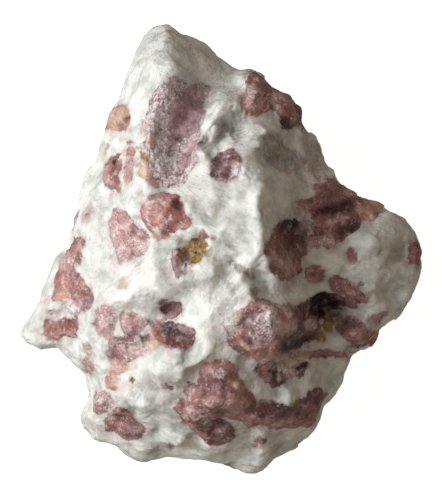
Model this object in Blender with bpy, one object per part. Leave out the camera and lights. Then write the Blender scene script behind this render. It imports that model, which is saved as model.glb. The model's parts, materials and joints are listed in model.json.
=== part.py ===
"""Rough tourmaline: rose crystals and lilac mica grown in a broken lump of white albite.

The stone lies on its flattest break. +Z is up, away from the table, and +Y runs towards
the pointed end. The origin is at the foot of the stone, under the middle of its box.
Every length below is in millimetres; the meshes are scaled to metres as they are made.
"""

import math

import bmesh
import bpy
from mathutils import Matrix, Vector, noise
from mathutils.bvhtree import BVHTree
from mathutils.geometry import delaunay_2d_cdt, intersect_line_line_2d

MM = 0.001
FAR = 100.0
TINY = 1e-4
INSIDE = 1  # what the triangulation keeps: triangles inside the outline
UP = Vector((0, 0, 1))

# The stone seen from above, clockwise from its point. The sides turn down here.
OUTLINE = [
    (-8.4, 33.9), (-7.2, 33.3), (-6.0, 32.0), (-2.7, 31.1), (-0.8, 29.0), (2.0, 27.2),
    (4.4, 27.3), (6.2, 26.0), (8.0, 24.0), (10.2, 23.3), (11.6, 21.2), (11.7, 18.3),
    (13.8, 17.0), (15.0, 15.2), (16.4, 12.0), (17.4, 9.9), (18.8, 8.7), (20.1, 8.0),
    (22.5, 7.2), (24.0, 6.2), (26.9, 5.1), (29.1, 2.9), (30.0, 0.3), (29.7, -2.3),
    (29.6, -4.5), (28.4, -7.5), (26.1, -10.1), (23.6, -11.9), (22.8, -13.7), (20.9, -14.9),
    (19.4, -15.8), (18.6, -18.0), (18.2, -20.0), (16.7, -22.4), (15.6, -23.3), (14.6, -25.7),
    (13.2, -27.2), (10.4, -29.7), (7.7, -31.7), (6.2, -33.2), (4.8, -33.9), (3.3, -33.6),
    (1.4, -32.4), (-0.6, -31.4), (-5.4, -31.1), (-9.2, -31.4), (-12.5, -31.8), (-14.4, -30.9),
    (-15.6, -29.6), (-18.8, -28.4), (-20.6, -26.7), (-21.2, -24.9), (-20.0, -22.4),
    (-20.1, -19.7), (-21.5, -17.4), (-23.3, -15.5), (-25.2, -14.1), (-27.5, -14.3),
    (-29.3, -13.8), (-30.0, -12.9), (-28.7, -10.1), (-26.9, -5.9), (-25.4, -2.3), (-23.0, 1.8),
    (-21.5, 6.0), (-20.3, 9.0), (-19.8, 11.4), (-18.3, 14.7), (-17.4, 17.4), (-17.3, 19.8),
    (-15.5, 22.4), (-14.3, 25.5), (-13.4, 28.7), (-11.7, 31.5), (-9.6, 33.2),
]
MIDDLE = Vector((-1.0, -3.0))

# Height above the table of the line where the sides stand upright, by compass angle.
RIM = [(-180, 11.5), (-163, 8.0), (-130, 9.0), (-80, 10.0), (-35, 11.0), (0, 11.0), (45, 14.0),
       (90, 15.0), (120, 14.0), (160, 12.0), (180, 11.5)]
SHOULDER = 4.6
UNDER_SHOULDER = 4.0
BASE_CUT = 0.8
BASE_POWER = 4.0
SIDE_POWER = 4.0
# Lumps and breaks fade towards the base over this height, and are this much lower on the sides.
BASE_CALM = 3.0
SIDE_CALM = 0.25
SIDE_BAND = 0.4

# Crests and troughs of the broken upper side, each a line of (x, y, height).
CRESTS = [
    [(-8.4, 32.4, 21.5), (-8.6, 30.0, 25.0), (-8.7, 26.2, 27.5), (-9.2, 22.5, 28.5),
     (-10.4, 18.0, 29.0), (-10.9, 13.5, 29.5), (-10.9, 9.0, 30.0)],
    [(3.9, 26.4, 20.5), (2.9, 23.3, 25.0), (1.4, 20.3, 27.5), (-1.1, 17.4, 29.0),
     (-2.6, 15.6, 29.0)],
    [(-2.2, 13.9, 30.5), (2.1, 15.9, 29.0), (7.1, 17.9, 25.5), (9.6, 18.4, 21.5)],
    [(3.2, 12.8, 31.0), (4.4, 10.5, 32.0), (5.4, 7.5, 33.0), (5.9, 3.8, 33.5), (5.4, 0.0, 33.5),
     (2.9, -3.8, 33.5), (0.2, -7.5, 33.0)],
    [(-6.9, 1.5, 31.5), (-10.7, -1.2, 30.5), (-13.4, -4.2, 29.0), (-17.0, -8.4, 25.5)],
    [(-3.2, -14.9, 30.5), (0.0, -17.6, 29.0), (0.6, -21.8, 27.5), (4.4, -23.3, 25.0),
     (9.6, -22.5, 22.0), (13.4, -22.0, 18.0)],
]
TROUGHS = [
    [(1.8, 26.0, 18.5), (-1.1, 24.6, 20.0), (-2.9, 22.5, 21.5), (-4.4, 19.5, 23.5),
     (-5.4, 15.8, 26.0), (-6.2, 11.2, 29.0)],
    [(6.2, 20.4, 22.5), (3.6, 18.8, 24.0), (1.1, 16.9, 26.0), (-0.9, 15.5, 28.0)],
    [(9.6, 15.0, 22.0), (8.6, 11.3, 24.5), (8.3, 7.5, 26.0), (9.6, 4.2, 24.0), (10.4, 0.8, 23.0),
     (11.9, -3.8, 24.0), (14.1, -7.5, 18.5), (16.4, -9.0, 15.5)],
    [(-12.2, 0.0, 27.5), (-15.2, -2.8, 25.0), (-16.8, -5.8, 23.0), (-19.0, -8.3, 20.5)],
    [(4.4, -17.2, 26.5), (8.1, -17.7, 24.0), (11.9, -15.8, 20.0), (15.6, -14.3, 18.0)],
]
SPOTS = [
    # right flank and lobe
    (12.6, 15.0, 18.0), (14.7, 12.0, 16.5), (13.4, 9.0, 20.5), (17.0, 7.9, 17.0),
    (16.4, 4.5, 19.5), (20.1, 5.3, 16.5), (18.6, 0.0, 20.5), (14.9, -1.8, 22.5),
    (23.1, 1.5, 18.0), (26.9, 0.8, 14.5), (23.9, -3.8, 18.0), (20.9, -6.0, 18.5),
    (26.1, -6.8, 14.0), (20.1, -12.8, 16.0),
    # the large rose crystal and the slope below it
    (6.2, -9.0, 32.0), (3.6, -12.8, 30.5), (6.6, -14.3, 29.0), (9.6, -11.3, 28.0),
    (11.9, -10.2, 23.5), (11.9, -19.2, 20.0), (15.6, -18.0, 16.0),
    # foot of the stone
    (-4.7, -25.5, 23.5), (2.1, -26.3, 21.0), (5.9, -29.3, 16.0), (9.6, -27.0, 17.0),
    (-0.9, -29.3, 18.0), (-6.9, -28.5, 18.5), (-12.2, -27.8, 17.0), (-10.7, -22.5, 24.0),
    (-15.2, -23.3, 20.0), (-18.2, -22.8, 16.5), (-18.2, -26.3, 14.0),
    # left side
    (-9.2, -18.0, 28.0), (-5.4, -12.8, 29.5), (-7.7, -13.5, 27.0), (-12.9, -14.3, 26.0),
    (-16.7, -17.3, 22.0), (-18.9, -19.5, 18.5), (-20.4, -16.5, 17.5), (-17.4, -12.8, 23.5),
    (-21.9, -12.0, 17.0), (-24.9, -11.3, 13.5), (-27.6, -12.3, 11.0), (-19.7, 0.0, 23.0),
    (-22.7, -1.5, 18.0), (-23.4, -6.0, 16.5), (-25.4, -7.5, 13.5), (-21.2, -5.6, 19.5),
    (-18.2, 4.5, 23.5), (-16.7, 10.5, 23.5), (-18.4, 9.0, 20.5), (-15.2, 16.5, 22.0),
    (-13.7, 22.5, 21.5), (-12.0, 28.5, 20.5), (-10.7, 31.0, 20.0),
    # middle
    (-13.7, 4.5, 27.5), (-8.4, 5.3, 31.5), (-3.9, 0.3, 29.5), (0.2, -0.9, 31.0),
    (-2.4, 3.8, 32.0), (-3.2, -3.8, 32.5), (-8.4, -6.0, 31.0), (-8.0, -8.6, 28.5),
    (-11.4, -8.3, 28.0), (-10.7, -11.3, 27.5), (-4.7, 9.0, 30.5), (-1.7, 11.3, 31.0),
]

BODY_ROUNDS = 6
BODY_TRIANGLES = 3900
BLUR = 0.35
# Lumps as (span, height), broken faces as (size, tilt)
LUMPS = [(7.0, 0.5), (2.8, 0.2)]
BREAKS = [(8.0, 0.20), (3.6, 0.22)]
LEAN_SEED = 5.1

# How a grain is shaped, and its socket around it
GAP = 0.36
MAX_SHELL = 1.6
RIM_INSET = 0.45
RIM_DROP = 0.05
RIM_FLARE = 0.6
FOOT_INSET = 0.4
LEAST_INSET = 0.1
INSET_STEP = 0.3
ROOF_SPACING = 1.8
FOOT_SPACING = 2.8
BLUR_FOOT = 1.0
FACET = 2.6
FACET_TILT = 0.3
CUTTER_RISE = 2.0
STEPS = 24

# What shows on the upper side: name, mineral, height above the albite, depth in it, outline.
UPPER = [
    ("tourmaline_left_knob", "orange", 1.3, 2.4,
     [(-15.7, 21.1), (-14.8, 21.5), (-14.1, 20.9), (-13.9, 19.7), (-14.2, 18.5), (-15.0, 17.8),
      (-16.0, 17.9), (-16.5, 18.8), (-16.4, 20.1)]),
    ("tourmaline_shoulder", "rose", 1.1, 2.6,
     [(4.7, 26.4), (6.1, 25.3), (7.6, 23.5), (9.9, 22.7), (11.0, 21.0), (11.2, 19.0), (10.1, 18.7),
      (8.6, 19.5), (7.1, 20.7), (6.2, 20.1), (4.4, 20.1), (3.2, 21.3), (3.9, 23.7)]),
    ("lepidolite_mica", "lilac", 0.0, 2.2,
     [(-8.2, 24.0), (-6.2, 24.9), (-3.5, 25.0), (-2.2, 24.0), (-2.7, 22.1), (-3.2, 19.8),
      (-3.9, 17.6), (-3.5, 15.0), (-3.8, 12.8), (-5.4, 11.3), (-6.6, 9.8), (-8.4, 9.2),
      (-9.8, 10.4), (-10.5, 12.8), (-10.6, 15.0), (-11.1, 17.3), (-10.5, 20.3), (-9.9, 22.6)]),
    ("tourmaline_left_sliver", "dusky", -0.3, 2.2,
     [(-16.4, 14.0), (-15.0, 14.1), (-15.2, 12.8), (-15.6, 11.3), (-15.2, 9.3), (-15.6, 8.4),
      (-16.7, 9.5), (-17.5, 11.0), (-17.5, 12.6)]),
    ("tourmaline_eye", "dusky", -0.2, 2.2,
     [(-0.5, 14.1), (1.4, 14.3), (2.6, 13.2), (2.7, 11.7), (1.7, 10.5), (0.6, 9.9), (-0.6, 10.8),
      (-1.4, 12.3)]),
    ("tourmaline_sugary", "pale", 0.4, 2.4,
     [(-15.5, 5.6), (-13.9, 5.4), (-12.7, 4.2), (-12.4, 2.7), (-10.9, 1.4), (-11.1, -0.3),
      (-12.9, -0.9), (-14.9, -1.8), (-15.5, 0.0), (-16.1, 2.3), (-16.2, 4.2)]),
    ("tourmaline_rosy", "rose", 0.7, 2.6,
     [(-10.4, 7.5), (-8.4, 8.1), (-6.5, 7.7), (-5.9, 6.0), (-5.1, 4.7), (-6.2, 3.6), (-7.5, 3.8),
      (-8.0, 2.4), (-9.2, 1.8), (-10.4, 2.8), (-11.4, 4.2), (-11.6, 5.7), (-11.0, 6.6)]),
    ("tourmaline_nugget", "dusky", 0.9, 2.2,
     [(-7.1, 0.0), (-5.9, 0.2), (-5.1, -0.8), (-4.8, -2.1), (-5.3, -3.3), (-6.2, -3.9),
      (-7.2, -2.7), (-7.4, -1.2)]),
    ("golden_grain", "gold", 0.1, 2.0,
     [(-4.4, 1.4), (-3.4, 1.8), (-2.4, 0.9), (-2.7, -0.6), (-3.4, -1.6), (-4.0, -1.0),
      (-4.1, 0.2)]),
    ("tourmaline_left_flank", "rose", 0.6, 2.4,
     [(-22.2, 1.2), (-21.2, 1.6), (-20.7, 0.8), (-21.2, -1.2), (-21.6, -2.1), (-21.2, -3.8),
      (-20.3, -5.3), (-19.8, -7.3), (-19.6, -8.6), (-20.6, -9.5), (-21.6, -10.0), (-22.7, -9.2),
      (-24.0, -7.5), (-25.2, -7.2), (-24.8, -5.7), (-24.9, -4.4), (-24.2, -2.4), (-23.5, -0.5)]),
    ("tourmaline_left_tip", "rose", 0.5, 2.0,
     [(-26.1, -10.8), (-24.6, -10.4), (-23.2, -10.7), (-21.8, -11.3), (-21.6, -12.5),
      (-22.7, -12.8), (-23.6, -12.6), (-24.9, -13.1), (-26.2, -12.8)]),
    ("tourmaline_pale_wedge", "pale", 0.3, 2.2,
     [(-18.4, -9.6), (-17.4, -8.9), (-16.4, -9.5), (-15.7, -10.5), (-16.0, -12.1), (-17.0, -12.7),
      (-18.1, -12.3), (-18.8, -11.2)]),
    ("tourmaline_long_prism", "rose", 0.9, 2.6,
     [(-14.3, -10.1), (-12.2, -9.8), (-10.7, -10.2), (-9.2, -10.8), (-7.4, -11.1), (-5.6, -11.7),
      (-4.1, -12.6), (-4.1, -13.8), (-5.1, -14.4), (-7.1, -14.3), (-9.5, -14.0), (-10.7, -12.9),
      (-12.2, -12.0), (-14.0, -12.3), (-14.6, -11.3)]),
    ("tourmaline_frosted", "pale", 0.5, 2.4,
     [(-16.4, -13.8), (-14.9, -13.4), (-13.5, -13.8), (-12.0, -13.9), (-10.7, -14.4),
      (-12.0, -15.3), (-13.4, -15.9), (-14.9, -16.4), (-16.2, -16.4), (-17.0, -15.0)]),
    ("tourmaline_pit", "dark", -0.9, 3.0,
     [(-8.4, -7.5), (-7.2, -7.4), (-6.2, -8.0), (-5.9, -9.0), (-6.6, -9.9), (-8.0, -9.9),
      (-8.9, -8.9)]),
    ("tourmaline_bead", "rose", 0.9, 2.0,
     [(-18.0, -21.3), (-16.9, -21.7), (-16.5, -22.8), (-16.9, -23.9), (-18.0, -24.3),
      (-19.0, -23.9), (-19.3, -22.8), (-19.0, -21.7)]),
    ("tourmaline_lower_left", "dusky", 0.6, 2.2,
     [(-16.2, -24.6), (-14.7, -24.4), (-13.4, -25.2), (-12.5, -26.4), (-11.9, -27.6),
      (-13.1, -28.1), (-14.6, -27.9), (-15.9, -27.1), (-17.2, -26.7), (-17.5, -25.6)]),
    ("tourmaline_foot_mass", "rose", 0.6, 2.6,
     [(-2.3, -18.0), (-1.0, -17.1), (0.5, -16.8), (1.8, -17.6), (2.9, -19.2), (3.8, -21.0),
      (5.0, -22.4), (7.1, -22.8), (8.9, -23.3), (10.4, -23.6), (11.6, -22.5), (13.1, -21.6),
      (14.5, -21.7), (14.8, -23.2), (13.9, -25.2), (12.7, -26.0), (10.7, -26.4), (8.3, -26.1),
      (5.9, -25.7), (4.1, -26.0), (2.3, -24.9), (0.2, -24.6), (-2.0, -24.0), (-3.6, -23.1),
      (-4.7, -21.9), (-4.8, -20.6), (-3.2, -20.1)]),
    ("tourmaline_foot_blade", "dusky", 0.5, 2.4,
     [(-6.6, -23.0), (-5.0, -23.7), (-3.4, -24.7), (-1.4, -25.8), (0.8, -26.1), (1.8, -27.2),
      (1.1, -28.2), (-0.6, -28.7), (-2.6, -27.8), (-4.4, -26.4), (-5.9, -24.6)]),
    ("tourmaline_heart", "rose", 1.5, 3.0,
     [(4.4, -7.5), (6.3, -7.2), (8.1, -8.0), (10.1, -7.8), (11.5, -8.2), (12.0, -9.8),
      (11.3, -11.4), (9.6, -12.8), (8.4, -14.3), (6.6, -15.2), (5.1, -15.8), (3.3, -15.0),
      (2.3, -13.5), (1.4, -12.0), (0.3, -10.5), (2.0, -9.3), (3.0, -8.1)]),
    ("tourmaline_dark_hollow", "dark", -0.9, 3.2,
     [(13.2, -8.2), (14.6, -7.5), (16.7, -7.4), (18.0, -7.9), (18.3, -8.9), (17.0, -9.6),
      (15.5, -10.2), (14.6, -11.4), (13.7, -13.2), (12.8, -14.4), (10.9, -14.7), (10.6, -14.1),
      (12.4, -12.7), (13.4, -10.8)]),
    ("tourmaline_right_lump", "dusky", 0.8, 2.4,
     [(18.8, -10.5), (20.3, -10.3), (21.2, -11.4), (22.1, -12.3), (22.3, -13.2), (21.6, -13.9),
      (20.6, -14.2), (19.1, -14.0), (18.2, -12.9), (18.0, -11.6)]),
    ("tourmaline_right_splinter", "dusky", 0.3, 2.2,
     [(17.1, -5.0), (18.3, -4.5), (19.7, -5.1), (21.2, -6.3), (21.5, -7.5), (20.4, -7.7),
      (19.2, -6.9), (17.7, -6.1)]),
    ("tourmaline_black_speckled", "dark", 0.2, 2.2,
     [(5.6, -17.9), (7.4, -17.1), (9.3, -16.4), (11.2, -16.2), (12.4, -17.0), (11.6, -18.2),
      (10.4, -18.8), (9.2, -19.9), (7.7, -19.7), (6.5, -18.8)]),
    ("tourmaline_dark_hexagon", "dark", -0.7, 2.6,
     [(10.4, 4.7), (12.0, 4.1), (12.7, 2.7), (12.8, 0.9), (12.7, -1.2), (12.2, -2.7),
      (11.0, -3.3), (9.5, -4.2), (8.0, -3.0), (7.1, -1.5), (6.3, 0.3), (7.1, 1.8), (8.3, 3.3)]),
    ("tourmaline_striated_prism", "dusky", 0.7, 2.6,
     [(14.6, 9.3), (16.2, 9.3), (17.8, 8.4), (19.3, 7.3), (19.9, 6.0), (20.2, 4.2), (19.5, 2.7),
      (17.9, 1.8), (15.8, 0.8), (14.3, 1.1), (13.9, 2.7), (13.4, 4.2), (13.2, 5.7), (13.7, 7.5)]),
    ("tourmaline_amber_lump", "orange", 0.9, 2.0,
     [(21.3, 6.2), (22.3, 6.4), (23.2, 5.9), (23.1, 5.0), (22.3, 4.3), (21.4, 4.5)]),
]

# What the photographed side hides: name, mineral, height, depth, where it sits as a compass
# angle and a share of the way out, the elevation it faces, its length, width and turn.
HIDDEN = [
    ("tourmaline_right_side", "rose", -0.1, 2.4, 2, 0.5, -12, 8.0, 4.4, 20),
    ("tourmaline_foot_side", "rose", -0.1, 2.4, -84, 0.5, -12, 7.5, 4.0, -15),
    ("tourmaline_left_side", "pale", -0.1, 2.2, 158, 0.5, -6, 7.5, 4.0, 70),
    ("tourmaline_head_side", "dusky", -0.1, 2.2, 40, 0.5, -12, 6.5, 4.0, 35),
    ("tourmaline_under_right", "dusky", 0.2, 2.2, -20, 0.74, -65, 6.5, 4.4, 50),
    ("tourmaline_under_left", "rose", 0.2, 2.2, -150, 0.70, -65, 7.0, 4.2, 10),
    ("tourmaline_under_head", "rose", 0.2, 2.2, 84, 0.74, -65, 8.0, 4.8, -25),
]
HIDDEN_CORNERS = 9
HIDDEN_JITTER = 0.32
CORNER_SEED = Vector((7.3, 1.9, 0.5))

# Base colour, roughness
MINERALS = {
    "white": ((0.72, 0.72, 0.68), 0.55),
    "rose": ((0.46, 0.19, 0.19), 0.35),
    "dusky": ((0.33, 0.14, 0.14), 0.35),
    "dark": ((0.16, 0.07, 0.07), 0.35),
    "pale": ((0.62, 0.38, 0.38), 0.40),
    "orange": ((0.60, 0.30, 0.25), 0.35),
    "lilac": ((0.42, 0.31, 0.36), 0.30),
    "gold": ((0.42, 0.27, 0.06), 0.30),
}


def clear_scene():
    for obj in list(bpy.data.objects):
        bpy.data.objects.remove(obj)


def mineral(kind):
    """The material of one mineral, made once."""
    found = bpy.data.materials.get(kind)
    if found:
        return found
    colour, roughness = MINERALS[kind]
    made = bpy.data.materials.new(kind)
    made.use_nodes = True
    shader = made.node_tree.nodes["Principled BSDF"]
    shader.inputs["Base Color"].default_value = (*colour, 1.0)
    shader.inputs["Roughness"].default_value = roughness
    return made


def add_object(name, form, kind):
    """Scales a bmesh from millimetres and links it as an object with its mineral's material."""
    bmesh.ops.scale(form, vec=(MM, MM, MM), verts=form.verts)
    bmesh.ops.recalc_face_normals(form, faces=form.faces)
    mesh = bpy.data.meshes.new(name)
    form.to_mesh(mesh)
    form.free()
    obj = bpy.data.objects.new(name, mesh)
    bpy.context.scene.collection.objects.link(obj)
    mesh.materials.append(mineral(kind))
    return obj


def rim_height(angle):
    """The rim's height at a compass angle in degrees, on a straight line between two of RIM."""
    for (low, z_low), (high, z_high) in zip(RIM, RIM[1:]):
        if low <= angle <= high:
            return z_low + (z_high - z_low) * (angle - low) / (high - low)
    return RIM[0][1]


def compass(x, y):
    return math.degrees(math.atan2(y - MIDDLE.y, x - MIDDLE.x))


def reach(angle):
    """How far the outline lies from MIDDLE at an angle in radians."""
    way = Vector((math.cos(angle), math.sin(angle)))
    furthest = 0.0
    for a, b in zip(OUTLINE, OUTLINE[1:] + OUTLINE[:1]):
        start = Vector(a) - MIDDLE
        side = Vector(b) - Vector(a)
        across = way.x * side.y - way.y * side.x
        if abs(across) < TINY**2:
            continue
        along = (start.x * side.y - start.y * side.x) / across
        share = (start.x * way.y - start.y * way.x) / across
        if along > 0 and 0 <= share <= 1:
            furthest = max(furthest, along)
    return furthest


def relief():
    """The broken upper side as flat facets between the crests, the troughs and the outline."""
    points = []
    edges = []
    for line in CRESTS + TROUGHS:
        first = len(points)
        points.extend(line)
        edges.extend((i, i + 1) for i in range(first, len(points) - 1))
    points.extend(SPOTS)
    first = len(points)
    for x, y in OUTLINE:
        points.append((x, y, rim_height(compass(x, y)) + SHOULDER))
    count = len(OUTLINE)
    edges.extend((first + i, first + (i + 1) % count) for i in range(count))
    flat = [Vector(p[:2]) for p in points]
    verts, _, faces, sources, _, _ = delaunay_2d_cdt(flat, edges, [], INSIDE, TINY)
    solid = []
    for vert, source in zip(verts, sources):
        height = points[source[0]][2] if source else SHOULDER
        solid.append(Vector((vert.x, vert.y, height)))
    return BVHTree.FromPolygons(solid, faces)


def height_at(tree, x, y, otherwise):
    """The facets' height over a point, blurred a little so that no edge is a knife's."""
    total, count = 0.0, 0
    for dx, dy in ((0, 0), (BLUR, 0), (-BLUR, 0), (0, BLUR), (0, -BLUR)):
        hit = tree.ray_cast(Vector((x + dx, y + dy, FAR)), -UP)[0]
        if hit:
            total += hit.z
            count += 1
    return total / count if count else otherwise


def body():
    """The lump of albite before its crystals: a ball drawn out to the outline and the relief."""
    upper = relief()
    form = bmesh.new()
    bmesh.ops.create_icosphere(form, subdivisions=BODY_ROUNDS, radius=1.0)
    slopes = {}
    for vert in form.verts:
        way = vert.co.normalized()
        angle = math.atan2(way.y, way.x)
        out = math.hypot(way.x, way.y)
        flat = MIDDLE + Vector((math.cos(angle), math.sin(angle))) * out * reach(angle)
        rim = rim_height(math.degrees(angle))
        if way.z >= 0:
            goal = height_at(upper, flat.x, flat.y, rim + SHOULDER)
        else:
            goal = (rim - UNDER_SHOULDER + BASE_CUT) * out**BASE_POWER - BASE_CUT
        share = 1 - (1 - abs(way.z)) ** SIDE_POWER
        vert.co = Vector((flat.x, flat.y, rim + (goal - rim) * share))
        slopes[vert.index] = abs(way.z)
    form.normal_update()
    moves = []
    for vert in form.verts:
        calm = SIDE_CALM + (1 - SIDE_CALM) * min(1.0, slopes[vert.index] / SIDE_BAND)
        calm *= max(0.0, min(1.0, vert.co.z / BASE_CALM))
        push = sum(size * noise.noise(vert.co / span) for span, size in LUMPS)
        push += sum(facets(vert.co, span, tilt) for span, tilt in BREAKS)
        moves.append(vert.normal * push * calm)
    for vert, move in zip(form.verts, moves):
        vert.co += move
    return thinned(form)


def thinned(form):
    """The same form with fewer triangles, kept where the stone bends, and its base cut flat."""
    mesh = bpy.data.meshes.new("rough")
    form.to_mesh(mesh)
    total = len(form.faces)
    form.free()
    helper = bpy.data.objects.new("rough", mesh)
    bpy.context.scene.collection.objects.link(helper)
    thin = helper.modifiers.new("thin", "DECIMATE")
    thin.ratio = BODY_TRIANGLES / total
    graph = bpy.context.evaluated_depsgraph_get()
    result = bmesh.new()
    result.from_mesh(helper.evaluated_get(graph).to_mesh())
    bpy.data.objects.remove(helper)
    everything = result.verts[:] + result.edges[:] + result.faces[:]
    bmesh.ops.bisect_plane(
        result, geom=everything, plane_co=(0, 0, 0), plane_no=UP, clear_inner=True
    )
    bmesh.ops.holes_fill(result, edges=[e for e in result.edges if e.is_boundary])
    bmesh.ops.triangulate(result, faces=result.faces)
    return result


def grown(outline, by):
    """A closed outline moved outwards by a distance, corner by corner."""
    area = sum(a[0] * b[1] - a[1] * b[0] for a, b in zip(outline, outline[1:] + outline[:1]))
    side = 1 if area > 0 else -1
    moved = []
    for i, corner in enumerate(outline):
        before = (Vector(corner) - Vector(outline[i - 1])).normalized()
        after = (Vector(outline[(i + 1) % len(outline)]) - Vector(corner)).normalized()
        normal = Vector((before.y + after.y, -before.x - after.x)).normalized() * side
        half = max(0.5, normal.dot(Vector((before.y, -before.x)) * side))
        moved.append(tuple(Vector(corner) + normal * by / half))
    return moved


def view_frame(angle, elevation):
    """Across, up and outward directions of a look at the stone from a compass angle."""
    turn, rise = math.radians(angle), math.radians(elevation)
    out = Vector((math.cos(turn) * math.cos(rise), math.sin(turn) * math.cos(rise), math.sin(rise)))
    across = UP.cross(out).normalized()
    return across, out.cross(across), out


def rough_outline(length, width, turn, seed):
    """A broken crystal's outline: an oval with its corners knocked about."""
    points = []
    for i in range(HIDDEN_CORNERS):
        angle = 2 * math.pi * i / HIDDEN_CORNERS
        swing = 1 + HIDDEN_JITTER * noise.noise(CORNER_SEED * Vector((seed, i, 1)))
        a = 0.5 * length * math.cos(angle) * swing
        b = 0.5 * width * math.sin(angle) * swing
        cos, sin = math.cos(math.radians(turn)), math.sin(math.radians(turn))
        points.append((a * cos - b * sin, a * sin + b * cos))
    return points


def lies_on(tree, frame, origin, point, centre):
    """The stone's surface under a point of a flat outline.

    A point that is off the stone takes the surface nearest to it on its way to the centre.
    """
    across, up, out = frame
    point = Vector(point[:2])
    inward = (centre - point) / STEPS
    for step in range(STEPS + 1):
        tried = point + inward * step
        start = origin + across * tried.x + up * tried.y + out * FAR
        hit, normal, _, _ = tree.ray_cast(start, -out)
        if hit:
            missed = point - tried
            return hit + across * missed.x + up * missed.y, normal
    raise ValueError(f"the outline misses the stone at {point}")


def facets(point, size, tilt):
    """Height of broken flat faces: each cell of a pattern is a plane with a tilt of its own."""
    centre = noise.voronoi(point / size)[1][0]
    lean = (noise.cell_vector(centre * LEAN_SEED) - Vector((0.5, 0.5, 0.5))) * 2 * tilt
    return lean.dot(point - centre * size)


def edge_distance(point, outline):
    """Distance of a point from an outline, negative where it is outside."""
    nearest, inside = FAR, False
    for a, b in zip(outline, outline[1:] + outline[:1]):
        a, b = Vector(a), Vector(b)
        share = max(0.0, min(1.0, (point - a).dot(b - a) / (b - a).length_squared))
        nearest = min(nearest, (point - a.lerp(b, share)).length)
        if (a.y > point.y) != (b.y > point.y):
            if point.x < a.x + (b.x - a.x) * (point.y - a.y) / (b.y - a.y):
                inside = not inside
    return nearest if inside else -nearest


def filling(outline, spacing, margin):
    """Points of a staggered grid that lie inside an outline, clear of it by a margin."""
    row = spacing * math.sqrt(3) / 2
    xs, ys = [p[0] for p in outline], [p[1] for p in outline]
    points = []
    for j in range(int((max(ys) - min(ys)) / row) + 1):
        for i in range(int((max(xs) - min(xs)) / spacing) + 2):
            point = Vector((min(xs) + (i + 0.5 * (j % 2)) * spacing, min(ys) + (j + 0.5) * row))
            if edge_distance(point, outline) > margin:
                points.append(tuple(point))
    return points


def shrunk(outline, by):
    """An outline moved inwards, by less where it is too narrow for that."""
    while by > LEAST_INSET:
        inner = grown(outline, -by)
        sides = list(zip(inner, inner[1:] + inner[:1]))
        crossings = [
            1
            for i, (a, b) in enumerate(sides)
            for c, d in sides[i + 2 :]
            if c != a and d != a and intersect_line_line_2d(a, b, c, d)
        ]
        if not crossings and all(edge_distance(Vector(p), outline) > 0.5 * by for p in inner):
            return inner
        by *= 1 - INSET_STEP
    raise ValueError("an outline is too narrow")


def patch(form, rim, inside):
    """Flat triangles over an outline and the points in it. Returns their verts in order."""
    flat = [Vector(p) for p in rim + inside]
    edges = [(i, (i + 1) % len(rim)) for i in range(len(rim))]
    corners, _, faces, sources, _, _ = delaunay_2d_cdt(flat, edges, [], INSIDE, TINY)
    verts = [form.verts.new((*corner, 0)) for corner in corners]
    for face in faces:
        form.faces.new([verts[i] for i in face])
    order = {source[0]: vert for vert, source in zip(verts, sources)}
    return [order[i] for i in range(len(flat))]


def level_of(tree, frame, origin, point, centre):
    """The stone's height under a point along the frame's outward direction, blurred."""
    total = 0.0
    around = [(0, 0), (BLUR_FOOT, 0), (-BLUR_FOOT, 0), (0, BLUR_FOOT), (0, -BLUR_FOOT)]
    for step in around:
        hit, _ = lies_on(tree, frame, origin, point + Vector(step), centre)
        total += hit.dot(frame[2])
    return total / len(around)


def grain(tree, frame, origin, outline, rise, depth):
    """A grain that follows the stone's surface: faceted roof, sloping sides, rounded foot.

    Returns it with the larger form that cuts its socket.
    """
    centre = sum((Vector(p) for p in outline), Vector((0, 0))) / len(outline)
    hits = [lies_on(tree, frame, origin, p, centre) for p in outline]
    mean = sum((normal for _, normal in hits), Vector())
    axis = (mean.normalized() + frame[2]).normalized()
    form = bmesh.new()
    bevel = shrunk(outline, RIM_INSET)
    roof = patch(form, outline, bevel + filling(outline, ROOF_SPACING, 2 * RIM_INSET))
    sole = shrunk(outline, FOOT_INSET)
    foot = patch(form, sole, filling(sole, FOOT_SPACING, 0.5 * FOOT_SPACING))
    count = len(outline)
    for i in range(count):
        j = (i + 1) % count
        form.faces.new((roof[i], roof[j], foot[j], foot[i]))
    for vert in foot:
        level = level_of(tree, frame, origin, vert.co.xy, centre)
        hit, _ = lies_on(tree, frame, origin, vert.co, centre)
        vert.co = hit + frame[2] * (level - hit.dot(frame[2])) - axis * depth
    for vert in roof[:count]:
        hit, _ = lies_on(tree, frame, origin, vert.co, centre)
        vert.co = hit + axis * (min(0.0, rise) - RIM_DROP)
    for vert in roof[count:]:
        hit, _ = lies_on(tree, frame, origin, vert.co, centre)
        vert.co = hit + axis * (rise + facets(hit, FACET, FACET_TILT))
    bmesh.ops.triangulate(form, faces=form.faces)
    bmesh.ops.recalc_face_normals(form, faces=form.faces)
    form.normal_update()
    form.verts.index_update()
    cutter = form.copy()
    cutter.verts.ensure_lookup_table()
    for vert in cutter.verts:
        vert.co += vert.normal * GAP * min(MAX_SHELL, vert.calc_shell_factor())
    for vert in roof[count:]:
        cutter.verts[vert.index].co += axis * CUTTER_RISE
    for vert, corner in zip(roof, grown(outline, RIM_FLARE)):
        hit, normal = lies_on(tree, frame, origin, corner, centre)
        cutter.verts[vert.index].co = hit + (normal + axis) * RIM_FLARE
    return form, cutter


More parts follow.
